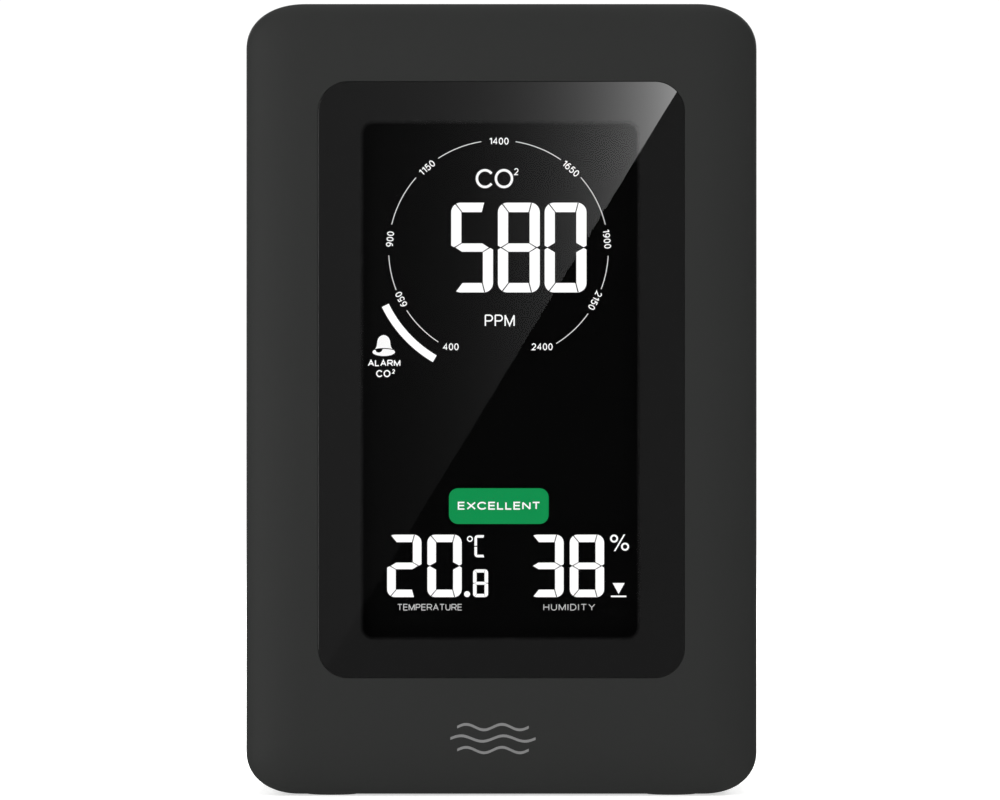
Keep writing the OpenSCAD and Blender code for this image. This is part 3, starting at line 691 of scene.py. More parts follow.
def make_piece(
    name: str, mesh: bpy.types.Mesh, finish: Finish, body: str, replaces: Sequence[str] = (),
    crease: float = 35.0,
) -> bpy.types.Object:
    """Makes a piece from a mesh, shades and dresses it, and gives it its place in the assembly.

    Args:
        name: the piece's name.
        mesh: its mesh, in metres.
        finish: what it is made of.
        body: the moving body that it rides on.
        replaces: the CAD nodes that it stands for.
        crease: the angle in degrees above which an edge stays sharp.

    Returns:
        The finished piece.
    """
    piece = bpy.data.objects.new(name, mesh)
    bpy.context.scene.collection.objects.link(piece)
    mesh.set_sharp_from_angle(angle=math.radians(crease))
    mesh.materials.clear()
    mesh.materials.append(material_of(finish))
    even = piece.modifiers.new("Even shading", "WEIGHTED_NORMAL")
    even.keep_sharp = True
    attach(piece, body)
    if replaces:
        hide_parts(*replaces)
    log.info("%-26s %6d faces on %s", name, len(mesh.polygons), body)
    return piece


def carve(mesh: bpy.types.Mesh, tool: bpy.types.Mesh, operation: str) -> bpy.types.Mesh:
    """Joins one closed mesh to another or cuts it away.

    Args:
        mesh: the mesh that is worked on.
        tool: the mesh that is joined or cut away.
        operation: UNION or DIFFERENCE.

    Returns:
        The new mesh.
    """
    work = bpy.data.objects.new("work", mesh)
    cutter = bpy.data.objects.new("cutter", tool)
    for item in (work, cutter):
        bpy.context.scene.collection.objects.link(item)
    cut = work.modifiers.new("Cut", "BOOLEAN")
    cut.operation = operation
    cut.object = cutter
    made = bpy.data.meshes.new_from_object(work.evaluated_get(bpy.context.evaluated_depsgraph_get()))
    for item in (work, cutter):
        bpy.data.objects.remove(item)
    return made


def shifted(line: Loop, distance: float, closed: bool) -> Loop:
    """A line moved sideways by an even distance.

    Each point moves along the sum of its two steps' normals over one plus their product, which is a mitre.

    Args:
        line: the points of the line.
        distance: how far it moves, to its right.
        closed: whether the last point joins the first.

    Returns:
        The moved points.
    """
    step = np.diff(line, axis=0, append=line[:1]) if closed else np.diff(line, axis=0)
    normal = step[:, ::-1] * (1, -1) / np.linalg.norm(step, axis=1, keepdims=True)
    before = np.roll(normal, 1, 0) if closed else np.vstack([normal[:1], normal])
    after = normal if closed else np.vstack([normal, normal[-1:]])
    share = 1 + (before * after).sum(1, keepdims=True)
    return line + distance * (before + after) / share.clip(SHARPEST)


def bow(x: float, z: float, half_w: float, half_h: float, start: float, end: float, steps: int = 14) -> Loop:
    """Returns points on an arc of an ellipse about (x, z), from one angle in degrees to another."""
    turn = np.radians(np.linspace(start, end, steps + 1))
    return np.column_stack([x + half_w * np.cos(turn), z + half_h * np.sin(turn)])


@dataclass(frozen=True)
class Word:
    """A word or number that is set in strokes, placed by its middle.

    Its width is that of the letters as drawn if none is given. The stroke's weight and the gap between
    letters are parts of its height, and it is turned counter-clockwise, in degrees.
    """

    text: str
    cap: float
    centre: tuple[float, float]
    width: float | None = None
    weight: float = 0.15
    turn: float = 0.0
    gap: float = 0.13


class Alphabet:
    """Plain upright capitals and figures, drawn as strokes in a box one wide and one high.

    GLYPHS gives each letter's width as a part of its height, then its strokes.
    """

    OVAL = bow(0.5, 0.5, 0.5, 0.5, 90, 450, 28)
    LOOP = bow(0.5, 0.32, 0.5, 0.32, 90, 450, 22)
    TAIL = bow(0.62, 0.34, 0.62, 0.66, 180, 68, 8)
    STEM = [(0, 0), (0, 1)]
    BOWL = np.vstack([[(0, 1)], bow(0.6, 0.73, 0.4, 0.27, 90, -90, 10), [(0, 0.46)]])
    GLYPHS: dict[str, tuple[float, tuple]] = {
        "A": (0.9, ([(0, 0), (0.5, 1), (1, 0)], [(0.2, 0.34), (0.8, 0.34)])),
        "C": (0.94, (bow(0.52, 0.5, 0.52, 0.5, 36, 324, 22),)),
        "D": (0.83, (np.vstack([[(0, 0), (0, 1)], bow(0.45, 0.5, 0.55, 0.5, 90, -90), [(0, 0)]]),)),
        "E": (0.72, ([(1, 0), (0, 0), (0, 1), (1, 1)], [(0, 0.52), (0.94, 0.52)])),
        "H": (0.8, (STEM, [(1, 0), (1, 1)], [(0, 0.52), (1, 0.52)])),
        "I": (0.0, (STEM,)),
        "L": (0.66, ([(0, 1), (0, 0), (1, 0)],)),
        "M": (0.96, (STEM, [(0, 1), (0.5, 0.05), (1, 1)], [(1, 1), (1, 0)])),
        "N": (0.82, (STEM, [(0, 1), (1, 0)], [(1, 0), (1, 1)])),
        "O": (0.97, (OVAL,)),
        "P": (0.78, (STEM, BOWL)),
        "R": (0.84, (STEM, BOWL, [(0.55, 0.46), (1, 0)])),
        "T": (0.8, ([(0, 1), (1, 1)], [(0.5, 1), (0.5, 0)])),
        "U": (0.8, (np.vstack([[(0, 1)], bow(0.5, 0.36, 0.5, 0.36, 180, 360), [(1, 1)]]),)),
        "X": (0.9, ([(0, 0), (1, 1)], [(0, 1), (1, 0)])),
        "Y": (0.9, ([(0, 1), (0.5, 0.44), (1, 1)], [(0.5, 0.44), (0.5, 0)])),
        "0": (0.64, (OVAL,)),
        "1": (0.42, ([(0.05, 0.76), (1, 1)], [(1, 1), (1, 0)])),
        "2": (0.64, (np.vstack([bow(0.5, 0.7, 0.48, 0.3, 165, -28), [(0, 0), (1, 0)]]),)),
        "4": (0.68, ([(0.74, 0), (0.74, 1), (0, 0.3), (1, 0.3)],)),
        "5": (0.64, ([(0.92, 1), (0.16, 1)],
                     np.vstack([[(0.16, 1), (0.05, 0.5)], bow(0.47, 0.34, 0.53, 0.34, 122, -155)]))),
        "6": (0.64, (LOOP, TAIL)),
        "9": (0.64, (1 - LOOP, 1 - TAIL)),
    }

    @classmethod
    def strokes(cls, word: Word) -> list[tuple[Loop, float]]:
        """Sets a word or number as strokes.

        A letter's strokes fill its box less the stroke's own weight, so its outside meets the box.

        Args:
            word: what it says, and how it is set.

        Returns:
            Each stroke's middle line with its width.
        """
        weight = word.weight
        widths = np.array([cls.GLYPHS[letter][0] for letter in word.text]).clip(weight)
        whole = widths.sum() + word.gap * (len(word.text) - 1)
        stretch = 1.0 if word.width is None else word.width / word.cap / whole
        starts = (np.concatenate([[0.0], np.cumsum(widths + word.gap)[:-1]]) - whole / 2) * stretch
        angle = math.radians(word.turn)
        spin = np.array([(math.cos(angle), math.sin(angle)), (-math.sin(angle), math.cos(angle))])
        strokes = []
        for letter, start, wide in zip(word.text, starts, widths * stretch):
            size = (max(wide - weight, 0.0), 1 - weight)
            for line in cls.GLYPHS[letter][1]:
                placed = np.array(line, float) * size + (start + weight / 2, weight / 2 - 0.5)
                strokes.append(((placed * word.cap) @ spin + word.centre, weight * word.cap))
        return strokes


# ---------------------------------------------------------------- housings


@dataclass
class Shape:
    """The outline that both housings share, from the frame's own box and a few driving sizes."""

    top_corner: tuple[float, float] = (9.2, 7.0)
    low_corner: tuple[float, float] = (8.3, 6.6)
    least_corner: float = 1.0
    shrink: float = 0.75
    power: float = 2.2
    steps: int = 24
    wall: float = 2.0
    seam_edge: float = 0.3

    def __post_init__(self) -> None:
        """Reads the housing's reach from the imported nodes."""
        low, high = box_mm("front_housing")
        self.side = high[0]
        self.low = low[2]
        self.top = high[2]
        self.y_front = low[1]
        self.y_back = box_mm("rear_housing")[1][1]
        self.y_seam = box_mm("rear_housing")[0][1]

    def outline(self, inset: float) -> Loop:
        """The front view of the housing, drawn in on every side.

        Each corner is a quarter of a superellipse: its half sizes times the cosine and the sine of the
        angle, each to the power of two over the shape's power. A corner shrinks by three quarters of the
        inset.

        Args:
            inset: how far the outline is drawn in.

        Returns:
            The loop, counter-clockwise from the right side.
        """
        turn = np.linspace(0, QUARTER, self.steps + 1)
        across = np.cos(turn).clip(0) ** (2 / self.power)
        along = np.sin(turn) ** (2 / self.power)
        loops = []
        for (width, height), level, sign in ((self.top_corner, self.top, 1),
                                             (self.low_corner, self.low, -1)):
            w = max(width - self.shrink * inset, self.least_corner)
            h = max(height - self.shrink * inset, self.least_corner)
            x = self.side - inset - w + w * across
            z = level - sign * (inset + h) + sign * h * along
            right = np.column_stack([x, z])
            left = np.column_stack([-x, z])
            loops.extend([right, left[::-1]] if sign > 0 else [left, right[::-1]])
        return np.vstack(loops)


@dataclass
class FrontHousing:
    """The front shell: rolled edge, flat face, recess and ledge for the lens, window, and the seam's lip."""

    shape: Shape
    roll_w: float = 8.5
    roll_d: float = 2.4
    roll_steps: int = 20
    face_t: float = 3.0
    inner_roll: tuple[float, float] = (6.0, 1.2)
    lens_gap: float = 0.03
    lens_corner: float = 4.6
    recess_edge: float = 0.12
    opening_corner: float = 2.0
    ledge_w: float = 2.05
    lip: tuple[float, float] = (2.1, 3.1)
    lip_reach: float = 1.8
    part_gap: float = 0.1
    print_t: float = 0.015

    def __post_init__(self) -> None:
        """Reads the lens's place from its node, and sinks the face by the thickness of the print on it."""
        self.lens_low, self.lens_high = box_mm("display_lens")
        self.y_face = self.shape.y_front + self.print_t
        self.y_ledge = box_mm("lens_tape")[1][1]
        self.y_part = self.shape.y_seam - self.part_gap

    def lens_loop(self, grow: float, radius: float) -> Loop:
        """Returns the lens's outline grown on every side, with the given corner radius."""
        low, high = self.lens_low, self.lens_high
        return rounded_box((0.0, (low[2] + high[2]) / 2), high[0] - low[0] + 2 * grow,
                           high[2] - low[2] + 2 * grow, radius, self.shape.steps)

    def stack(self) -> list[tuple[Loop, float]]:
        """Lists the shell's section as loops and depths.

        It runs from the lip out over the seam, round the rolled edge, in over the face, down the recess,
        through the window and back along the inside. The roll is a quarter of an ellipse.

        Returns:
            Each loop with its depth, the last joining the first.
        """
        outline, shape = self.shape.outline, self.shape
        outer_lip, inner_lip = self.lip
        y_inside = shape.y_front + self.face_t
        rings = [(outline(inner_lip), self.y_part + self.lip_reach),
                 (outline(outer_lip), self.y_part + self.lip_reach), (outline(outer_lip), self.y_part)]
        rings += [(outline(shape.seam_edge - step), self.y_part - drawn)
                  for drawn, step in quarter(shape.seam_edge, 4)]
        rings += [(outline(drawn), self.y_face + self.roll_d - run)
                  for drawn, run in quarter(self.roll_w, self.roll_steps, self.roll_d)]
        radius = self.lens_corner + self.lens_gap
        rings += [(self.lens_loop(self.lens_gap + self.recess_edge - run, radius + self.recess_edge - run),
                   self.y_face + drawn) for drawn, run in quarter(self.recess_edge, 4)]
        rings += [(self.lens_loop(self.lens_gap, radius), self.y_ledge)]
        rings += [(self.lens_loop(-self.ledge_w, self.opening_corner), y) for y in (self.y_ledge, y_inside)]
        inner_w, inner_d = self.inner_roll
        rings += [(outline(shape.wall + inner_w - run), y_inside + drawn)
                  for drawn, run in quarter(inner_d, 6, inner_w)]
        rings += [(outline(inset), self.y_part - self.lip_reach) for inset in (shape.wall, inner_lip)]
        return rings

    def build(self) -> None:
        """Makes the front housing."""
        form = Form()
        form.skin([form.ring(loop, depth) for loop, depth in self.stack()], closed=True)
        make_piece("front_shell", form.mesh("front_shell"), ABS, HOUSING, ["front_housing"])


@dataclass
class RearHousing:
    """The rear shell: round back edge, grille, key bed, socket pocket and the four screw wells."""

    shape: Shape
    back_r: float = 5.0
    edge: float = 0.3
    slot_rows: int = 9
    slot: tuple[float, float] = (20.0, 1.8)
    slot_pitch: float = 3.6
    slot_gap: float = 3.0
    slot_z: float = 76.0
    bed: tuple[float, float] = (55.5, 9.5)
    bed_d: float = 0.8
    bed_fillet: float = 0.2
    pocket: tuple[float, float] = (13.0, 7.2)
    pocket_edge: float = 0.6
    sleeve: float = 1.4
    well: tuple[float, float] = (33.2, 9.0)
    well_r: float = 2.3
    pilot_r: float = 1.3
    post_r: float = 3.4
    y_seat: float = -0.8
    y_post: float = -2.9
    overrun: float = 1.0

    def mouth(
        self, form: Form, loop_of: Callable[[float], Loop], level: float, edge: float,
    ) -> tuple[Ring, Ring]:
        """Adds the rounded mouth of a hole.

        Args:
            form: the form that gets it.
            loop_of: gives the hole's loop, grown by a distance.
            level: the depth of the surface that the hole is in.
            edge: the radius of its edge.

        Returns:
            The ring on the surface and the ring where the hole's wall starts.
        """
        rings = [form.ring(loop_of(edge - run), level - drawn) for drawn, run in quarter(edge, 3)]
        form.skin(rings)
        return rings[0], rings[-1]

    def grille(self, form: Form, y_inside: float) -> tuple[list[Ring], list[Ring]]:
        """Adds the walls of the ventilation slots, two columns of them.

        Args:
            form: the form that gets them.
            y_inside: the depth of the back wall's inner face.

        Returns:
            The slots' rings on the outer face and on the inner face.
        """
        outer, inner = [], []
        width, height = self.slot
        for row in range(self.slot_rows):
            for side in (-1, 1):
                centre = (side * (width + self.slot_gap) / 2,
                          self.slot_z + (row - (self.slot_rows - 1) / 2) * self.slot_pitch)
                first, wall = self.mouth(
                    form, lambda grow: pill(centre, width + 2 * grow, height + 2 * grow),
                    self.shape.y_back, self.edge)
                end = form.ring(pill(centre, width, height), y_inside)
                form.skin([wall, end])
                outer.append(first)
                inner.append(end)
        return outer, inner

    def key_bed(self, form: Form, y_inside: float) -> tuple[Ring, list[Ring]]:
        """Adds the sunk bed of the push keys, with a hole for each key.

        Args:
            form: the form that gets it.
            y_inside: the depth of the back wall's inner face.

        Returns:
            The bed's ring on the outer face and the holes' rings on the inner face.
        """
        centre = front_view("button_power")[0]
        floor = self.shape.y_back - self.bed_d

        def bed_loop(grow: float) -> Loop:
            """Returns the bed's outline, grown by a distance."""
            return pill(centre, self.bed[0] + 2 * grow, self.bed[1] + 2 * grow, 24)

        first, wall = self.mouth(form, bed_loop, self.shape.y_back, self.edge)
        rings = [form.ring(bed_loop(-drawn), floor + self.bed_fillet - run)
                 for drawn, run in quarter(self.bed_fillet, 3)]
        form.skin([wall, *rings])
        mouths, ends = [], []
        for key in KEYS:
            hole_on, hole_wall = self.mouth(form, key.hole, floor, self.edge / 2)
            end = form.ring(key.hole(0.0), y_inside)
            form.skin([hole_wall, end])
            mouths.append(hole_on)
            ends.append(end)
        form.panel(rings[-1], *mouths)
        return first, ends

    def socket_pocket(self, form: Form, y_inside: float) -> tuple[Ring, Ring]:
        """Adds the deep pocket of the charging socket, with its sleeve inside the shell.

        Args:
            form: the form that gets it.
            y_inside: the depth of the back wall's inner face.

        Returns:
            The pocket's ring on the outer face and the sleeve's ring on the inner face.
        """
        centre, _, (_, y_rim) = front_view("usb_shell")
        width, height = self.pocket

        def loop_of(grow: float) -> Loop:
            """Returns the pocket's outline, grown by a distance."""
            return pill(centre, width + 2 * grow, height + 2 * grow, 20)

        first, wall = self.mouth(form, loop_of, self.shape.y_back, self.pocket_edge)
        end = form.ring(loop_of(self.sleeve), y_inside)
        form.skin([wall, form.ring(loop_of(0.0), y_rim), form.ring(loop_of(self.sleeve), y_rim), end])
        return first, end

    def rods(self, name: str, section: Sequence[tuple[float, float]]) -> bpy.types.Mesh:
        """Makes a turned rod at each of the four screw places.

        Args:
            name: the mesh's name.
            section: pairs of radius and depth, from the front to the back.

        Returns:
            The mesh of the four rods.
        """
        form = Form()
        x, inset = self.well
        for place in ((side * x, z) for side in (-1, 1) for z in (inset, self.shape.top - inset)):
            form.solid([form.ring(circle(place, radius), depth) for radius, depth in section])
        return form.mesh(name)

    def build(self) -> None:
        """Makes the rear housing: the shell first, then the posts joined on and the wells cut in."""
        form, shape = Form(), self.shape
        y_back, y_inside = shape.y_back, shape.y_back - shape.wall
        inner_r = self.back_r - shape.wall
        seam = [form.ring(shape.outline(shape.seam_edge - run), shape.y_seam + drawn)
                for drawn, run in quarter(shape.seam_edge, 4)]
        outer = [form.ring(shape.outline(drawn), y_back - self.back_r + run)
                 for drawn, run in quarter(self.back_r, 14)]
        inner = [form.ring(shape.outline(shape.wall + drawn), y_inside - inner_r + run)
                 for drawn, run in quarter(inner_r, 8)]
        start = form.ring(shape.outline(shape.wall), shape.y_seam)
        form.skin([*reversed(inner), start, *seam, *outer])
        slots_out, slots_in = self.grille(form, y_inside)
        bed_out, keys_in = self.key_bed(form, y_inside)
        pocket_out, pocket_in = self.socket_pocket(form, y_inside)
        form.panel(outer[-1], *slots_out, bed_out, pocket_out)
        form.panel(inner[-1], *slots_in, *keys_in, pocket_in)
        posts = self.rods("posts", [(self.post_r, self.y_post), (self.post_r, y_back - shape.wall / 2)])
        wells = self.rods("wells", [
            (self.pilot_r, self.y_post - self.overrun), (self.pilot_r, self.y_seat),
            (self.well_r, self.y_seat), (self.well_r, y_back - self.edge),
            (self.well_r + self.edge, y_back), (self.well_r + self.edge, y_back + self.overrun)])
        mesh = carve(carve(form.mesh("rear_shell"), posts, "UNION"), wells, "DIFFERENCE")
        mesh.name = "rear_shell"
        make_piece("rear_shell", mesh, ABS_REAR, HOUSING, ["rear_housing"])


@dataclass
class Feet:
    """Four rubber feet, each a low disc with a rounded rim, let into the base."""

    radius: float = 4.0
    rim: float = 0.2
    crown: float = 0.03
    crown_rings: int = 6
    crown_heart: float = 0.1

    def build(self) -> None:
        """Makes the feet as one group of four closed discs."""
        low, high = box_mm("rubber_feet")
        radius = self.radius
        form = Form(Plane.PLAN)
        for x in (low[0] + radius, high[0] - radius):
            for y in (low[1] + radius, high[1] - radius):
                centre = (x, y)
                rings = [form.ring(circle(centre, radius), high[2])]
                rings += [form.ring(circle(centre, radius - drawn), low[2] + self.crown + self.rim - run)
                          for drawn, run in quarter(self.rim, 4)]
                rings += [form.ring(circle(centre, (radius - self.rim) * part),
                                    low[2] + self.crown * part ** 2)
                          for part in np.linspace(1, self.crown_heart, self.crown_rings)[1:]]
                form.skin(rings)
                form.panel(rings[0])
                form.pole(rings[-1], (x, y, low[2]))
        make_piece("feet", form.mesh("feet"), RUBBER, HOUSING, ["rubber_feet"])


# ---------------------------------------------------------------- keys


@dataclass
class PushKey:
    """One push key of the back: a dished cap over a flange, with its printed mark.

    The arrow is given by its half width, its foot below the middle and its tip above it.
    """

    node: str
    body: str
    glyph: Glyph
    steps: int = 20
    edge: float = 0.5
    edge_steps: int = 6
    dish: float = 0.04
    dish_rings: int = 10
    dish_heart: float = 0.05
    stem: tuple[float, float] = (3.1, 3.0)
    flange: float = 0.8
    flange_t: float = 0.9
    flange_in: float = 2.95
    hole_gap: float = 0.2
    ink_t: float = 0.05
    power_ring: tuple[float, float] = (1.1, 1.38)
    power_span: tuple[float, float] = (125.0, 415.0)
    bar: tuple[float, float] = (0.28, 1.1)
    bar_lift: float = 0.95
    bar_corner: float = 0.1
    mode_ring: tuple[float, float] = (1.35, 1.08)
    dot_r: float = 0.5
    arrow: tuple[float, float, float] = (1.25, 0.8, 1.1)

    def __post_init__(self) -> None:
        """Reads the key's place from its node, whose widest part is the flange."""
        low, high = box_mm(self.node)
        self.centre = ((low[0] + high[0]) / 2, (low[2] + high[2]) / 2)
        self.cap = (high[0] - low[0] - 2 * self.flange, high[2] - low[2] - 2 * self.flange)
        self.y_face = high[1]
        self.y_foot = low[1]

    def loop(self, grow: float) -> Loop:
        """Returns the cap's outline, grown by a distance."""
        return pill(self.centre, self.cap[0] + 2 * grow, self.cap[1] + 2 * grow, self.steps)

    def hole(self, grow: float) -> Loop:
        """Returns the outline of the cap's hole in the key bed, grown by a distance."""
        return self.loop(self.hole_gap + grow)

    def build_cap(self) -> None:
        """Makes the cap: stem, flange, walls, edge and a face that dips by the square of the way in."""
        form = Form()
        stem = pill(self.centre, *self.stem, self.steps)
        y_flange = box_mm("rear_housing")[1][1] - self.flange_in
        y_wall = y_flange + self.flange_t
        rings = [form.ring(stem, self.y_foot), form.ring(stem, y_flange)]
        rings += [form.ring(self.loop(self.flange), y) for y in (y_flange, y_wall)]
        rings += [form.ring(self.loop(0.0), y_wall)]
        rings += [form.ring(self.loop(-drawn), self.y_face - self.edge + run)
                  for drawn, run in quarter(self.edge, self.edge_steps)]
        form.skin(rings)
        form.panel(rings[0])
        middle = np.array(self.centre)
        face = self.loop(-self.edge) - middle
        inner = [rings[-1]] + [form.ring(middle + face * part, self.y_face - self.dish * (1 - part ** 2))
                               for part in np.linspace(1, self.dish_heart, self.dish_rings)[1:]]
        form.skin(inner)
        form.pole(inner[-1], (self.centre[0], self.y_face - self.dish, self.centre[1]))
        make_piece(f"cap_{self.glyph.value}", form.mesh("cap"), KEY_ABS, self.body, [self.node])

    def build_mark(self) -> None:
        """Makes the printed mark: a ring and bar, a ring and dot, or an arrow head."""
        form = Form()
        x, z = self.centre
        top = self.y_face - self.dish / 4
        bottom = top - self.ink_t
        if self.glyph is Glyph.POWER:
            form.prism(strip((x, z), *self.power_ring, *self.power_span), bottom, top)
            form.prism(rounded_box((x, z + self.bar_lift), *self.bar, self.bar_corner, 4), bottom, top)
        elif self.glyph is Glyph.MODE:
            outer, inner = self.mode_ring
            form.tube(circle((x, z), outer), circle((x, z), inner), bottom, top)
            form.prism(circle((x, z), self.dot_r), bottom, top)
        else:
            up = 1 if self.glyph is Glyph.UP else -1
            half, foot, tip = self.arrow
            form.prism(np.array([(x - half, z - foot * up), (x + half, z - foot * up), (x, z + tip * up)]),
                       bottom, top)
        make_piece(f"mark_{self.glyph.value}", form.mesh("mark"), KEY_PRINT, self.body)

    def build(self) -> None:
        """Makes the cap and its mark."""
        self.build_cap()
        self.build_mark()


KEYS = [PushKey(f"button_{glyph.value}", f"{glyph.value}_key", glyph) for glyph in Glyph]


# ---------------------------------------------------------------- charging socket


@dataclass
class ChargingSocket:
    """The socket in its pocket: plated shell, tongue with its contacts, and the soft ring round it.

    The tongue's nose is pairs of how far it draws in and how far that is from its end. The soft ring is
    pairs of how far across it a point is, from the shell to the pocket's wall, and whether it is sunk there.
    """

    steps: int = 20
    skin: float = 0.32
    rim: float = 0.1
    plate_t: float = 0.4
    nose: tuple[tuple[float, float], ...] = ((0.0, 0.2), (0.04, 0.08), (0.15, 0.0))
    tongue_corner: float = 0.12
    contacts: int = 12
    contact_pitch: float = 0.5
    contact_w: float = 0.26
    contact_l: float = 4.2
    contact_in: float = 0.6
    contact_corner: float = 0.05
    proud: float = 0.03
    ring_gap: float = 0.02
    bead: float = 0.18
    ring: tuple[tuple[float, bool], ...] = ((0.0, False), (0.03, False), (0.08, True), (0.6, True),
                                            (0.68, False), (1.0, False))

    def build_shell(self) -> None:
        """Makes the drawn shell: a cup whose rim is rolled over."""
        centre, (width, height), (y_plate, y_rim) = front_view("usb_shell")
        section = [(self.skin, y_plate + self.plate_t), (self.skin, y_rim - self.rim),
                   (self.skin - self.rim, y_rim), (self.rim, y_rim), (0.0, y_rim - self.rim),
                   (0.0, y_plate)]
        form = Form()
        form.solid([form.ring(pill(centre, width - 2 * inset, height - 2 * inset, self.steps), depth)
                    for inset, depth in section])
        make_piece("socket_shell", form.mesh("socket_shell"), NICKEL, HOUSING, ["usb_shell"])

    def build_tongue(self) -> None:
        """Makes the tongue with its drawn-in nose, and the contacts let into both its faces."""
        centre, (width, height), (y_root, y_tip) = front_view("usb_tongue")
        form = Form()
        section = [(0.0, y_root), *((inset, y_tip - back) for inset, back in self.nose)]
        form.solid([form.ring(rounded_box(centre, width - 2 * inset, height - 2 * inset,
                                          self.tongue_corner, 4), depth) for inset, depth in section])
        make_piece("socket_tongue", form.mesh("socket_tongue"), NYLON, HOUSING,
                   ["usb_tongue"])
        pads = Form()
        y_end = y_tip - self.contact_in
        for index in range(self.contacts):
            x = (index - (self.contacts - 1) / 2) * self.contact_pitch
            pads.prism(rounded_box((x, centre[1]), self.contact_w, height + 2 * self.proud,
                                   self.contact_corner, 3), y_end - self.contact_l, y_end)
        make_piece("socket_contacts", pads.mesh("socket_contacts"), GOLD, HOUSING)

    def build_gasket(self) -> None:
        """Makes the soft ring, with a raised bead against the shell and another at the pocket's wall."""
        centre, outer, (y_foot, y_rim) = front_view("usb_gasket")
        inner = np.array(front_view("usb_shell")[1]) + 2 * self.ring_gap
        section = [(0.0, y_foot), *((part, y_rim - self.bead * sunk) for part, sunk in self.ring),
                   (1.0, y_foot)]
        form = Form()
        rings = [form.ring(pill(centre, *(inner + (outer - inner) * part), self.steps), depth)
                 for part, depth in section]
        form.skin(rings, closed=True)
        make_piece("socket_gasket", form.mesh("socket_gasket"), SILICONE, HOUSING, ["usb_gasket"])

    def build(self) -> None:
        """Makes every piece of the socket."""
        self.build_shell()
        self.build_tongue()
        self.build_gasket()


# ---------------------------------------------------------------- lens and display


@dataclass
class Lens:
    """The acrylic lens, a slab with a small round front edge, dark-printed but for its window."""

    corner: float = 4.6
    edge: float = 0.05
    edge_steps: int = 5
    window: tuple[float, float] = (42.25, 78.85)
    window_place: tuple[float, float] = (-0.2, -0.1)
    window_corner: float = 1.8
    fade: float = 0.9

    def build(self) -> None:
        """Makes the lens."""
        centre, (width, height), (y_face, y_back) = front_view("display_lens")
        window_centre = (self.window_place[0], self.window_place[1] + centre[1])
        finish = PrintedLens("acrylic, printed behind", "#181818", "#171717", self.window, window_centre,
                             self.window_corner, self.fade)
        form = Form()
        steps = [(self.edge - run, y_face + drawn) for drawn, run in quarter(self.edge, self.edge_steps)]
        form.solid([form.ring(rounded_box(centre, width - 2 * inset, height - 2 * inset,
                                          self.corner - inset), level)
                    for inset, level in [*steps, (0.0, y_back)]])
        make_piece("lens", form.mesh("lens"), finish, HOUSING, ["display_lens"])


@dataclass(frozen=True)
class Digit:
    """A seven-segment figure with round outer corners, its sizes in millimetres.

    The segments go by the usual letters: a on top, then b to f clockwise, and g in the middle. The nose and
    the blunt are how far along a side its pointed end starts and stops, as parts of the side's width.
    """

    width: float
    height: float
    side_w: float
    bar_h: float
    corner: float
    gap: float
    split_angle: float = 125.0
    lean: float = 0.24
    nose: float = 0.31
    blunt: float = 0.24

    LIT = {"0": "abcdef", "2": "abdeg", "3": "abcdg", "5": "acdfg", "8": "abcdefg"}

    def segment(self, letter: str) -> Loop:
        """The outline of one segment, in the figure's own box.

        The upper segments are drawn, and a lower one is its mirror: a height z becomes the height less z.

        Args:
            letter: the segment's letter.

        Returns:
            Its loop.
        """
        if letter in "dec":
            return self.segment({"d": "a", "e": "f", "c": "b"}[letter]) * (1, -1) + (0, self.height)
        w, h, side, bar, gap = self.width, self.height, self.side_w, self.bar_h, self.gap
        middle, half_gap, r = h / 2, gap / 2, self.corner
        shift = math.degrees(gap / r)
        shoulder = middle + side / 5
        end = [(self.nose * side, middle + half_gap), (self.blunt * side, middle + half_gap)]
        if letter == "a":
            start = arc((r, h - r), r, self.split_angle - shift, 90.0, 6)
            return np.vstack([start, [(w - side * (1 - self.lean) - gap, h), (w - side - gap, h - bar),
                                      (side + gap, h - bar)]])
        if letter == "f":
            start = arc((r, h - r), r, 180.0, self.split_angle, 6)
            return np.vstack([start, [(side, h - bar), (side, middle + bar / 2), *end, (0.0, shoulder)]])
        if letter == "b":
            start = arc((w - r, h - r), r, 90.0, 0.0, 8)
            mirrored = [(w - x, z) for x, z in reversed(end)]
            return np.vstack([[(w - side * (1 - self.lean), h)], start, [(w, shoulder)], mirrored,
                              [(w - side, middle + bar / 2), (w - side, h - bar)]])
        tip, inner, half = self.nose * side + gap, side + half_gap, bar / 2 - half_gap
        return np.array([(tip, middle), (inner, middle + half), (w - inner, middle + half),
                         (w - tip, middle), (w - inner, middle - half), (inner, middle - half)])

    def row(self, text: str, corner: tuple[float, float], pitch: float = 0.0) -> list[Loop]:
        """The lit segments of a row of figures.

        Args:
            text: the figures.
            corner: the lower left corner of the first figure's box.
            pitch: the distance from one figure to the next.

        Returns:
            The loop of each lit segment.
        """
        return [self.segment(letter) + (corner[0] + place * pitch, corner[1])
                for place, figure in enumerate(text) for letter in self.LIT[figure]]


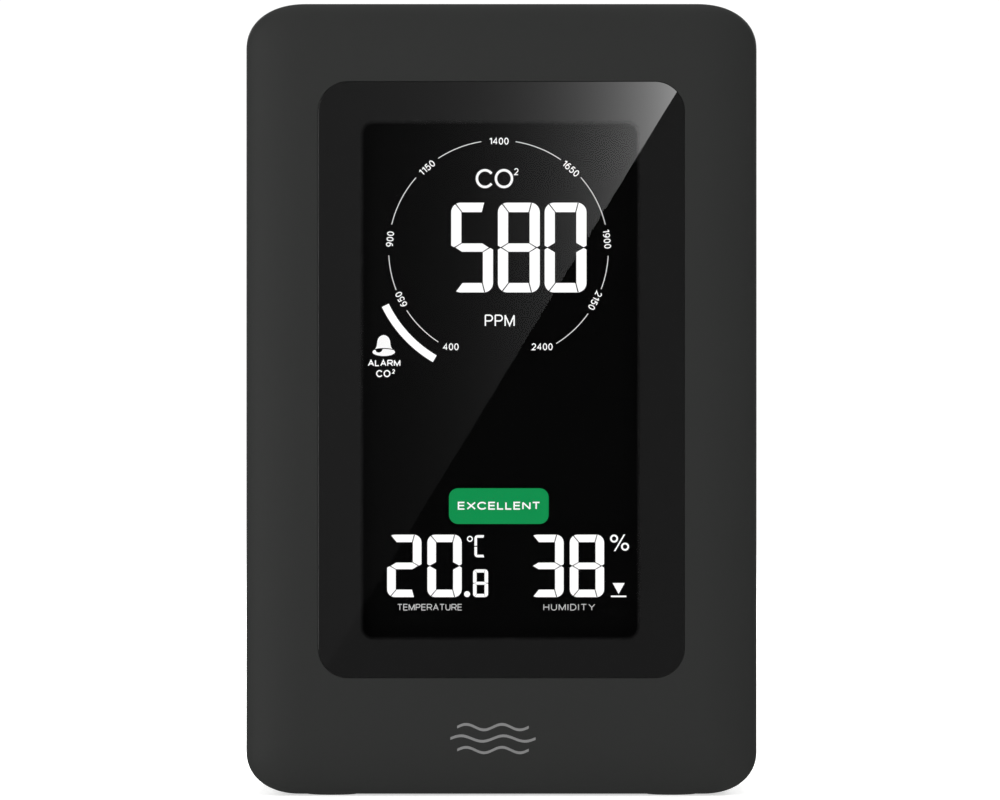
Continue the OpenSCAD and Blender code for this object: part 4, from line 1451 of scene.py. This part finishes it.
@dataclass
class Display:
    """Everything that the display shows, in millimetres from the middle of the lens.

    The dial's spans and numbers go by angle, in degrees counter-clockwise from the right. A reading is
    placed by the lower left corner of its first figure.
    """

    layer_t: float = 0.02
    air: float = 0.02
    rise: float = 0.055
    dial_centre: tuple[float, float] = (-0.46, 19.75)
    dial_r: float = 16.78
    dial_line: float = 0.13
    dial_spans: tuple[tuple[float, float], ...] = (
        (99.0, 123.3), (138.7, 166.5), (182.8, 201.3), (213.3, 236.8), (81.0, 55.3), (41.5, 13.5),
        (-3.0, -20.8), (-35.3, -58.3))
    dial_numbers: tuple[tuple[str, float], ...] = (
        ("650", 206.8), ("900", 174.2), ("1150", 131.0), ("1400", 89.8), ("1650", 48.5), ("1900", 5.9),
        ("2150", -27.6))
    dial_ends: tuple[tuple[str, tuple[float, float]], ...] = (("400", (-7.74, 4.98)), ("2400", (6.21, 4.98)))
    number_r: float = 16.66
    number_cap: float = 1.08
    number_weight: float = 0.145
    level_r: tuple[float, float] = (18.66, 19.84)
    level_span: tuple[float, float] = (206.0, 239.6)
    reading: Digit = Digit(6.4, 13.72, 1.56, 1.45, 1.45, 0.17)
    reading_place: tuple[float, float] = (-7.69, 13.28)
    reading_pitch: float = 7.14
    reading_words: tuple[Word, ...] = (
        Word("CO", 2.95, (-1.08, 30.68), 5.74, 0.13, gap=0.05), Word("2", 1.08, (2.26, 31.74), weight=0.14),
        Word("PPM", 1.85, (-0.27, 8.99), 4.6, 0.115, gap=0.14))
    alarm_words: tuple[Word, ...] = (
        Word("ALARM", 1.0, (-17.93, 2.5), 4.98, 0.18, gap=0.1),
        Word("CO", 1.1, (-18.07, 0.88), 2.2, 0.18, gap=0.1), Word("2", 0.7, (-16.5, 1.22), weight=0.2))
    badge: tuple[float, float] = (15.24, 5.46)
    badge_place: tuple[float, float] = (-0.41, -19.37)
    badge_corner: float = 1.4
    badge_word: Word = Word("EXCELLENT", 1.22, (-0.38, -19.31), 12.6, 0.18, gap=0.14)
    climate: Digit = Digit(5.25, 9.55, 1.32, 1.15, 1.2, 0.14)
    tenth: Digit = Digit(2.3, 4.25, 0.55, 0.5, 0.5, 0.045)
    climate_low: float = -33.28
    temperature_left: float = -17.48
    temperature_pitch: float = 6.15
    tenth_left: float = -4.35
    point_x: float = -5.26
    point_r: float = 0.46
    degree: tuple[float, float] = (1.48, 3.4)
    degree_place: tuple[float, float] = (-4.14, -27.2)
    degree_line: float = 0.4
    degree_corner: float = 0.5
    degree_split: float = 0.08
    degree_lean: float = 0.1
    humidity_left: float = 4.25
    humidity_pitch: float = 6.18
    slash: tuple[tuple[float, float], ...] = ((18.79, -23.7), (17.29, -26.25))
    slash_half: float = 0.13
    low_arrow: tuple[tuple[float, float], ...] = ((16.98, -31.12), (18.82, -31.12), (17.9, -32.8))
    low_line: tuple[float, float] = (2.4, 0.25)
    low_line_place: tuple[float, float] = (17.9, -33.16)
    unit_rings: tuple[tuple[tuple[float, float], float, float], ...] = (
        ((-4.83, -24.38), 0.46, 0.27), ((17.2, -24.33), 0.62, 0.34), ((18.88, -25.57), 0.62, 0.34))
    captions: tuple[Word, ...] = (
        Word("TEMPERATURE", 1.0, (-10.97, -34.82), 9.9, 0.12, gap=0.14),
        Word("HUMIDITY", 1.0, (10.35, -34.82), 7.9, 0.12, gap=0.25))

    def __post_init__(self) -> None:
        """Reads the place of the glass."""
        self.middle = np.array(front_view("display_lens")[0]) + (0.0, self.rise)
        self.y_glass = box_mm("lcd_front_polariser")[0][1] - self.air

    def lit(self, name: str, finish: Finish, loops: Sequence[Loop] = (), words: Sequence[Word] = (),
            layer: int = 0) -> None:
        """Makes one piece of lit shapes and words, each a thin slab in front of the glass.

        Args:
            name: the piece's name.
            finish: how it is lit.
            loops: the shapes, placed from the middle of the lens.
            words: the words and numbers, placed alike.
            layer: how many slabs lie behind them.
        """
        form = Form()
        back = self.y_glass - layer * self.layer_t
        for word in words:
            for line, weight in Alphabet.strokes(word):
                form.stroke(line + self.middle, weight, back, back - self.layer_t)
        for loop in loops:
            form.prism(loop + self.middle, back, back - self.layer_t)
        make_piece(name, form.mesh(name), finish, HOUSING)

    def build_dial(self) -> None:
        """Makes the dial: a broken ring, its numbers along it, and the level bar outside it."""
        half = self.dial_line / 2
        ring = [strip(self.dial_centre, self.dial_r - half, self.dial_r + half, start, end, 16)
                for start, end in self.dial_spans]
        self.lit("dial_ring", LIT_FINE, ring)
        self.lit("level_bar", LIT_WHITE, [strip(self.dial_centre, *self.level_r, *self.level_span, 24)])
        words = []
        for text, angle in self.dial_numbers:
            place = arc(self.dial_centre, self.number_r, angle, angle, 0)[0]
            words.append(Word(text, self.number_cap, tuple(place), weight=self.number_weight,
                              turn=angle - 90.0))
        words += [Word(text, self.number_cap, place, weight=self.number_weight)
                  for text, place in self.dial_ends]
        self.lit("dial_numbers", LIT_TEXT, words=words)

    def build_reading(self) -> None:
        """Makes the gas reading with its name above and its unit below."""
        figures = self.reading.row("580", self.reading_place, self.reading_pitch)
        self.lit("gas_reading", LIT_WHITE, figures)
        self.lit("reading_labels", LIT_TEXT, words=self.reading_words)

    def bell(self) -> list[Loop]:
        """The alarm bell: a dome over an elliptical mouth.

        The dome's half width is its reach times (1 - u to the power of 5) to the power of 0.7, plus a flare
        that falls off as e to the power of -6 u, where u is the part of its height. The mouth is the lower
        part of an ellipse, with a bite where one looks into the bell: a half ellipse too.

        Returns:
            The loops of the dome and of the mouth.
        """
        place = (-18.0, 4.17)
        foot, top, reach, flare = 0.48, 2.62, 1.0, 0.33
        lift, wide, tall, gap = 0.14, 1.72, 0.6, 0.14
        bite_x, bite_w, bite_h = -0.72, 0.54, 0.5
        part = np.linspace(0, 1, 28)
        half = reach * (1 - part ** 5) ** 0.7 + flare * np.exp(-6 * part) * (1 - part)
        level = foot + (top - foot) * part
        hem = np.linspace(-1, 1, 13)[1:-1]
        dome = np.vstack([
            np.column_stack([half, level]), np.column_stack([-half, level])[::-1],
            np.column_stack([hem * half[0], foot + lift * (1 - hem ** 2)]),
        ])
        across = np.linspace(-1, 1, 41) * half[0]
        bite = bite_h * np.sqrt(np.clip(1 - ((across - bite_x) / bite_w) ** 2, 0, None))
        rim = foot - gap + lift * (1 - (across / half[0]) ** 2) - bite
        end = math.asin((foot - gap) / tall)
        turn = np.linspace(end, -math.pi - end, 40)
        mouth = np.vstack([np.column_stack([across, rim]),
                           np.column_stack([wide * np.cos(turn), tall * np.sin(turn)])])
        return [dome + place, mouth + place]

    def build_alarm(self) -> None:
        """Makes the alarm's bell with the two words under it."""
        self.lit("alarm_mark", LIT_TEXT, self.bell(), self.alarm_words)

    def build_rating(self) -> None:
        """Makes the green badge and the word on it."""
        plate = rounded_box(self.badge_place, *self.badge, self.badge_corner, 10)
        self.lit("rating_badge", LIT_GREEN, [plate])
        self.lit("rating_word", LIT_TEXT, words=[self.badge_word], layer=1)

    def build_temperature(self) -> None:
        """Makes the temperature: two figures, a point and a small tenth, with the degree sign's letter."""
        low, (width, height), line = self.climate_low, self.degree, self.degree_line
        loops = self.climate.row("20", (self.temperature_left, low), self.temperature_pitch)
        loops += self.tenth.row("8", (self.tenth_left, low))
        loops.append(circle((self.point_x, low + self.point_r), self.point_r, 24))
        split, r = height / 2 + self.degree_split, self.degree_corner
        hook = np.vstack([[(0.0, split)], arc((r, height - r), r, 180.0, 90.0, 6), [
            (width, height), (width - self.degree_lean, height - line), (line, height - line),
            (line, split)]])
        loops += [hook + self.degree_place, hook * (1, -1) + (0, height) + self.degree_place]
        self.lit("temperature_reading", LIT_WHITE, loops)

    def build_humidity(self) -> None:
        """Makes the humidity: two figures, the stroke of the per cent sign and the low mark."""
        loops = self.climate.row("38", (self.humidity_left, self.climate_low), self.humidity_pitch)
        (top_x, top_z), (foot_x, foot_z), half = *self.slash, self.slash_half
        loops.append(np.array([(top_x + half, top_z), (top_x - half, top_z), (foot_x - half, foot_z),
                               (foot_x + half, foot_z)]))
        loops.append(np.array(self.low_arrow))
        loops.append(pill(self.low_line_place, *self.low_line))
        self.lit("humidity_reading", LIT_WHITE, loops)

    def build_rings(self) -> None:
        """Makes the round parts of the degree and per cent signs."""
        form = Form()
        for centre, outer, inner in self.unit_rings:
            place = self.middle + centre
            form.tube(circle(place, outer), circle(place, inner), self.y_glass, self.y_glass - self.layer_t)
        make_piece("unit_rings", form.mesh("unit_rings"), LIT_WHITE, HOUSING)

    def build(self) -> None:
        """Makes everything that the display shows."""
        self.build_dial()
        self.build_reading()
        self.build_alarm()
        self.build_rating()
        self.build_temperature()
        self.build_humidity()
        self.build_rings()
        self.lit("climate_captions", LIT_CAPTION, words=self.captions)


@dataclass
class FaceMark:
    """A plain printed mark under the lens: three waves of moving air."""

    centre: tuple[float, float] = (-1.3, 8.8)
    length: float = 13.0
    taper: float = 0.16
    pitch: float = 1.75
    swing: float = 0.42
    stroke: float = 0.42
    waves: float = 2.0
    sink: float = 0.03

    def build(self) -> None:
        """Makes the waves: each centre line is the swing times the sine of the way along."""
        y_front = box_mm("front_housing")[0][1]
        form = Form()
        along = np.linspace(-0.5, 0.5, 61)
        rise = self.swing * np.sin(2 * math.pi * self.waves * along)
        half = self.stroke / 2
        for row in (-1, 0, 1):
            x = self.centre[0] + self.length * (1 - self.taper * abs(row)) * along
            z = self.centre[1] + row * self.pitch + rise
            form.prism(np.vstack([np.column_stack([x, z + half]), np.column_stack([x, z - half])[::-1]]),
                       y_front + self.sink, y_front)
        make_piece("air_mark", form.mesh("air_mark"), PRINT, HOUSING)


# ---------------------------------------------------------------- carried-over nodes


CARRIED = {
    FOAM: ["lens_tape", "battery_tape"],
    POLARISER: ["lcd_front_polariser", "lcd_rear_polariser"],
    GLASS: ["lcd_front_glass", "lcd_rear_glass"],
    DIFFUSER: ["diffuser_film"],
    LIGHT_GUIDE: ["light_guide"],
    WHITE_PC: ["backlight_tray", "backlight_leds", "flex_connectors", "battery_connector", "battery_plug",
               "climate_chip"],
    POLYIMIDE: ["backlight_flex", "climate_flex", "usb_flex", "switch_flex"],
    CARRIER: ["display_carrier"],
    ZEBRA: ["zebra_strip"],
    SOLDER_MASK: ["main_board", "co2_sensor_board", "climate_board", "usb_board", "switch_board"],
    EPOXY: ["mcu_chip", "power_chips"],
    CERAMIC: ["board_passives"],
    NICKEL: ["clock_crystal", "co2_optical_chamber"],
    NYLON: ["buzzer", "switch_bodies"],
    MEMBRANE: ["co2_filter"],
    GOLD: ["co2_header_pins"],
    FELT: ["vent_filter"],
    POUCH: ["battery_cell"],
    PVC: ["battery_leads"],
    ZINC: ["housing_screws", "board_screws", "switch_board_screws", "usb_board_screws"],
    KEY_ABS: ["plunger_power", "plunger_mode", "plunger_up", "plunger_down"],
}


def dress_carried() -> None:
    """Gives each carried-over CAD node its finish."""
    for finish, nodes in CARRIED.items():
        for node in nodes:
            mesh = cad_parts[node].data
            mesh.materials.clear()
            mesh.materials.append(material_of(finish))
        log.info("%-26s on %d CAD nodes", finish.name, len(nodes))


# ---------------------------------------------------------------- studio


@dataclass(frozen=True)
class Lamp:
    """A square soft lamp aimed at the object.

    Its azimuth is nought in front and grows to the right, its elevation is above level, both in degrees. Its
    distance and its side are in millimetres, and its power is in watts.
    """

    name: str
    azimuth: float
    elevation: float
    distance: float
    side: float
    power: float


@dataclass
class Studio:
    """The white table and surround, the soft lights, the camera and what the lens mirrors.

    Sizes are in millimetres, but for the clip and the reach of the table's painted light, which are in
    metres.
    """

    field_w: float = 152.9
    focal: float = 250.0
    sensor: float = 36.0
    clip: tuple[float, float] = (0.05, 20.0)
    widest_y: float = -16.6
    aim: tuple[float, float] = (-0.23, 60.45)
    lamps: tuple[Lamp, ...] = (
        Lamp("key", -35.0, 6.0, 2000.0, 750.0, 22.5), Lamp("overhead", 0.0, 88.0, 1300.0, 1000.0, 6.5),
        Lamp("back_left", -140.0, 25.0, 1400.0, 600.0, 8.0),
        Lamp("back_right", 140.0, 25.0, 1400.0, 600.0, 11.0))
    table_reach: float = 6000.0
    # painted light on the table: its glow near the object and far from it, and the reach in metres over
    # which it grows
    table_painted_light: tuple[float, float] = (0.58, 0.75)
    painted_light_reach: tuple[float, float] = (0.2, 0.9)
    surround: float = 0.42
    mirrored_surround: float = 0.35
    seen_surround: float = 1.05
    card_behind: float = 150.0
    card_left: float = -46.0
    card_top: float = 130.0
    card_edge: tuple[float, float] = (-1.85, 60.5)
    card_slant: float = 0.61
    card_full: float = 5.1
    card_full_x: float = 24.54
    card_step: float = 8.95
    card_least: float = 0.03
    flag_behind: float = 420.0
    flag_reach: float = 700.0

    def __post_init__(self) -> None:
        """Works out the camera's distance: the field's width over the sensor's, times the focal length."""
        self.y_camera = self.widest_y - self.field_w * self.focal / self.sensor
        self.y_lens = box_mm("display_lens")[0][1]

    def build_camera(self) -> None:
        """Makes the camera, level and square to the display."""
        data = bpy.data.cameras.new("camera")
        data.lens = self.focal
        data.sensor_width = self.sensor
        data.clip_start, data.clip_end = self.clip
        camera = bpy.data.objects.new("camera", data)
        camera.location = (self.aim[0] * MM, self.y_camera * MM, self.aim[1] * MM)
        camera.rotation_euler = (QUARTER, 0.0, 0.0)
        bpy.context.scene.collection.objects.link(camera)
        bpy.context.scene.camera = camera
        bpy.context.scene.view_settings.view_transform = "Standard"

    def sheet(self, name: str, corners: Sequence[tuple[float, float, float]],
              material: bpy.types.Material) -> bpy.types.Object:
        """Makes a flat stage sheet.

        Args:
            name: its name.
            corners: its corners in millimetres.
            material: what it is made of.

        Returns:
            The sheet.
        """
        mesh = bpy.data.meshes.new(name)
        mesh.from_pydata(np.array(corners) * MM, [], [tuple(range(len(corners)))])
        mesh.materials.append(material)
        item = bpy.data.objects.new(name, mesh)
        bpy.context.scene.collection.objects.link(item)
        return item

    def build_table(self) -> None:
        """Makes the pale table top, and clear from under it. Its glow is painted light: it grows away from
        the object, standing in for lamp light that falls off with distance, and it lifts the object's
        contact shadow.
        """
        material, tree = empty_material("pale table")
        place = put(tree, "ShaderNodeTexCoord").outputs["Object"]
        away = put(tree, "ShaderNodeVectorMath", {0: place}, operation="LENGTH").outputs["Value"]
        # painted light: the table glows more the farther it is from the object, standing in for lamp light
        # that falls off and fading the contact shadow
        glow = put(tree, "ShaderNodeMapRange", {
            "Value": away, "From Min": self.painted_light_reach[0], "From Max": self.painted_light_reach[1],
            "To Min": self.table_painted_light[0], "To Max": self.table_painted_light[1]})
        top = put(tree, "ShaderNodeBsdfPrincipled", {
            "Base Color": linear("#f6f6f5"), "Roughness": 0.9, "Specular IOR Level": 0.0,
            "Emission Color": linear("#ffffff"), "Emission Strength": glow.outputs[0]})
        under = put(tree, "ShaderNodeNewGeometry").outputs["Backfacing"]
        clear = put(tree, "ShaderNodeBsdfTransparent")
        both = put(tree, "ShaderNodeMixShader", {0: under, 1: top.outputs[0], 2: clear.outputs[0]})
        put(tree, "ShaderNodeOutputMaterial", {"Surface": both.outputs[0]})
        reach = self.table_reach
        table = self.sheet("table", [(-reach, -reach, 0), (reach, -reach, 0), (reach, reach, 0),
                                     (-reach, reach, 0)], material)
        table.visible_glossy = False

    def build_surround(self) -> None:
        """Makes the white surround, dimmer where it lights or is mirrored than where it is seen."""
        world = bpy.data.worlds.new("surround")
        bpy.context.scene.world = world
        world.use_nodes = True
        tree = world.node_tree
        tree.nodes.clear()
        path = put(tree, "ShaderNodeLightPath")
        mirrored = put(tree, "ShaderNodeMapRange", {
            "Value": path.outputs["Is Glossy Ray"], "To Min": self.surround,
            "To Max": self.mirrored_surround})
        seen = put(tree, "ShaderNodeMix", {0: path.outputs["Is Camera Ray"], 2: mirrored.outputs[0],
                                           3: self.seen_surround})
        white = put(tree, "ShaderNodeBackground", {"Color": linear("#ffffff"), "Strength": seen.outputs[0]})
        put(tree, "ShaderNodeOutputWorld", {"Surface": white.outputs[0]})

    def build_lamps(self) -> None:
        """Makes the key lamp at the left, the lamp overhead and the two lamps behind."""
        for lamp in self.lamps:
            data = bpy.data.lights.new(lamp.name, "AREA")
            data.size = lamp.side * MM
            data.energy = lamp.power
            a, e = math.radians(lamp.azimuth), math.radians(lamp.elevation)
            away = Vector((math.sin(a) * math.cos(e), -math.cos(a) * math.cos(e), math.sin(e)))
            item = bpy.data.objects.new(lamp.name, data)
            item.location = Vector((0.0, 0.0, self.aim[1] * MM)) + away * lamp.distance * MM
            item.rotation_euler = (-away).to_track_quat("-Z", "Y").to_euler()
            bpy.context.scene.collection.objects.link(item)

    def build_mirrored(self) -> None:
        """Makes what the lens mirrors: a dark flag behind the camera, and before it a card that glows.

        A card at a distance behind the camera shows in the lens drawn towards the camera's axis, so each of
        its points is the lens point's distance from the axis, times one plus the card's distance from the
        lens over the camera's. The card's slanted side gives the straight edge of the reflection, and its
        glow grows by e for each step across.
        """
        y_card = self.y_camera - self.card_behind
        spread = 1 + (self.y_lens - y_card) / (self.y_lens - self.y_camera)
        axis_x, axis_z = self.aim
        (edge_x, edge_z), left, top = self.card_edge, self.card_left, self.card_top

        def on_card(x: float, z: float) -> tuple[float, float, float]:
            """Returns the point of the card that a point of the lens mirrors."""
            return (axis_x + (x - axis_x) * spread, y_card, axis_z + (z - axis_z) * spread)

        glowing, tree = empty_material("glowing card")
        place = put(tree, "ShaderNodeTexCoord").outputs["Object"]
        x = put(tree, "ShaderNodeSeparateXYZ", {"Vector": place}).outputs[0]
        rate = 1 / (self.card_step * MM * spread)
        power = put(tree, "ShaderNodeMath", {0: x, 1: rate, 2: -on_card(self.card_full_x, 0)[0] * MM * rate},
                    operation="MULTIPLY_ADD")
        glow = put(tree, "ShaderNodeMath", {0: power.outputs[0]}, operation="EXPONENT")
        strength = put(tree, "ShaderNodeMath", {0: glow.outputs[0], 1: self.card_full, 2: self.card_least},
                       operation="MULTIPLY_ADD")
        light = put(tree, "ShaderNodeEmission", {"Strength": strength.outputs[0]})
        put(tree, "ShaderNodeOutputMaterial", {"Surface": light.outputs[0]})
        card = self.sheet("glow_card", [
            on_card(left, top), on_card(edge_x + self.card_slant * (top - edge_z), top),
            on_card(left, edge_z - (edge_x - left) / self.card_slant)], glowing)
        dark, tree = empty_material("dark flag")
        light = put(tree, "ShaderNodeEmission", {"Strength": 0.0})
        put(tree, "ShaderNodeOutputMaterial", {"Surface": light.outputs[0]})
        y_flag, reach = self.y_camera - self.flag_behind, self.flag_reach
        flag = self.sheet("dark_flag", [(-reach, y_flag, -reach), (reach, y_flag, -reach),
                                        (reach, y_flag, reach), (-reach, y_flag, reach)], dark)
        for item in (card, flag):
            item.visible_camera = False
            item.visible_diffuse = False
            item.visible_shadow = False
            item.visible_transmission = False

    def build(self) -> None:
        """Makes the whole studio."""
        self.build_camera()
        self.build_table()
        self.build_surround()
        self.build_lamps()
        self.build_mirrored()


def main() -> None:
    """Makes the studio, then each sub-assembly in order, and dresses the carried-over nodes."""
    logging.basicConfig(level=logging.INFO, format="%(message)s")
    shape = Shape()
    for part in (Studio(), FrontHousing(shape), RearHousing(shape), Feet(), Lens(), Display(), FaceMark(),
                 ChargingSocket(), *KEYS):
        part.build()
        log.info("%s made", type(part).__name__)
    dress_carried()


if __name__ == "__main__":
    main()
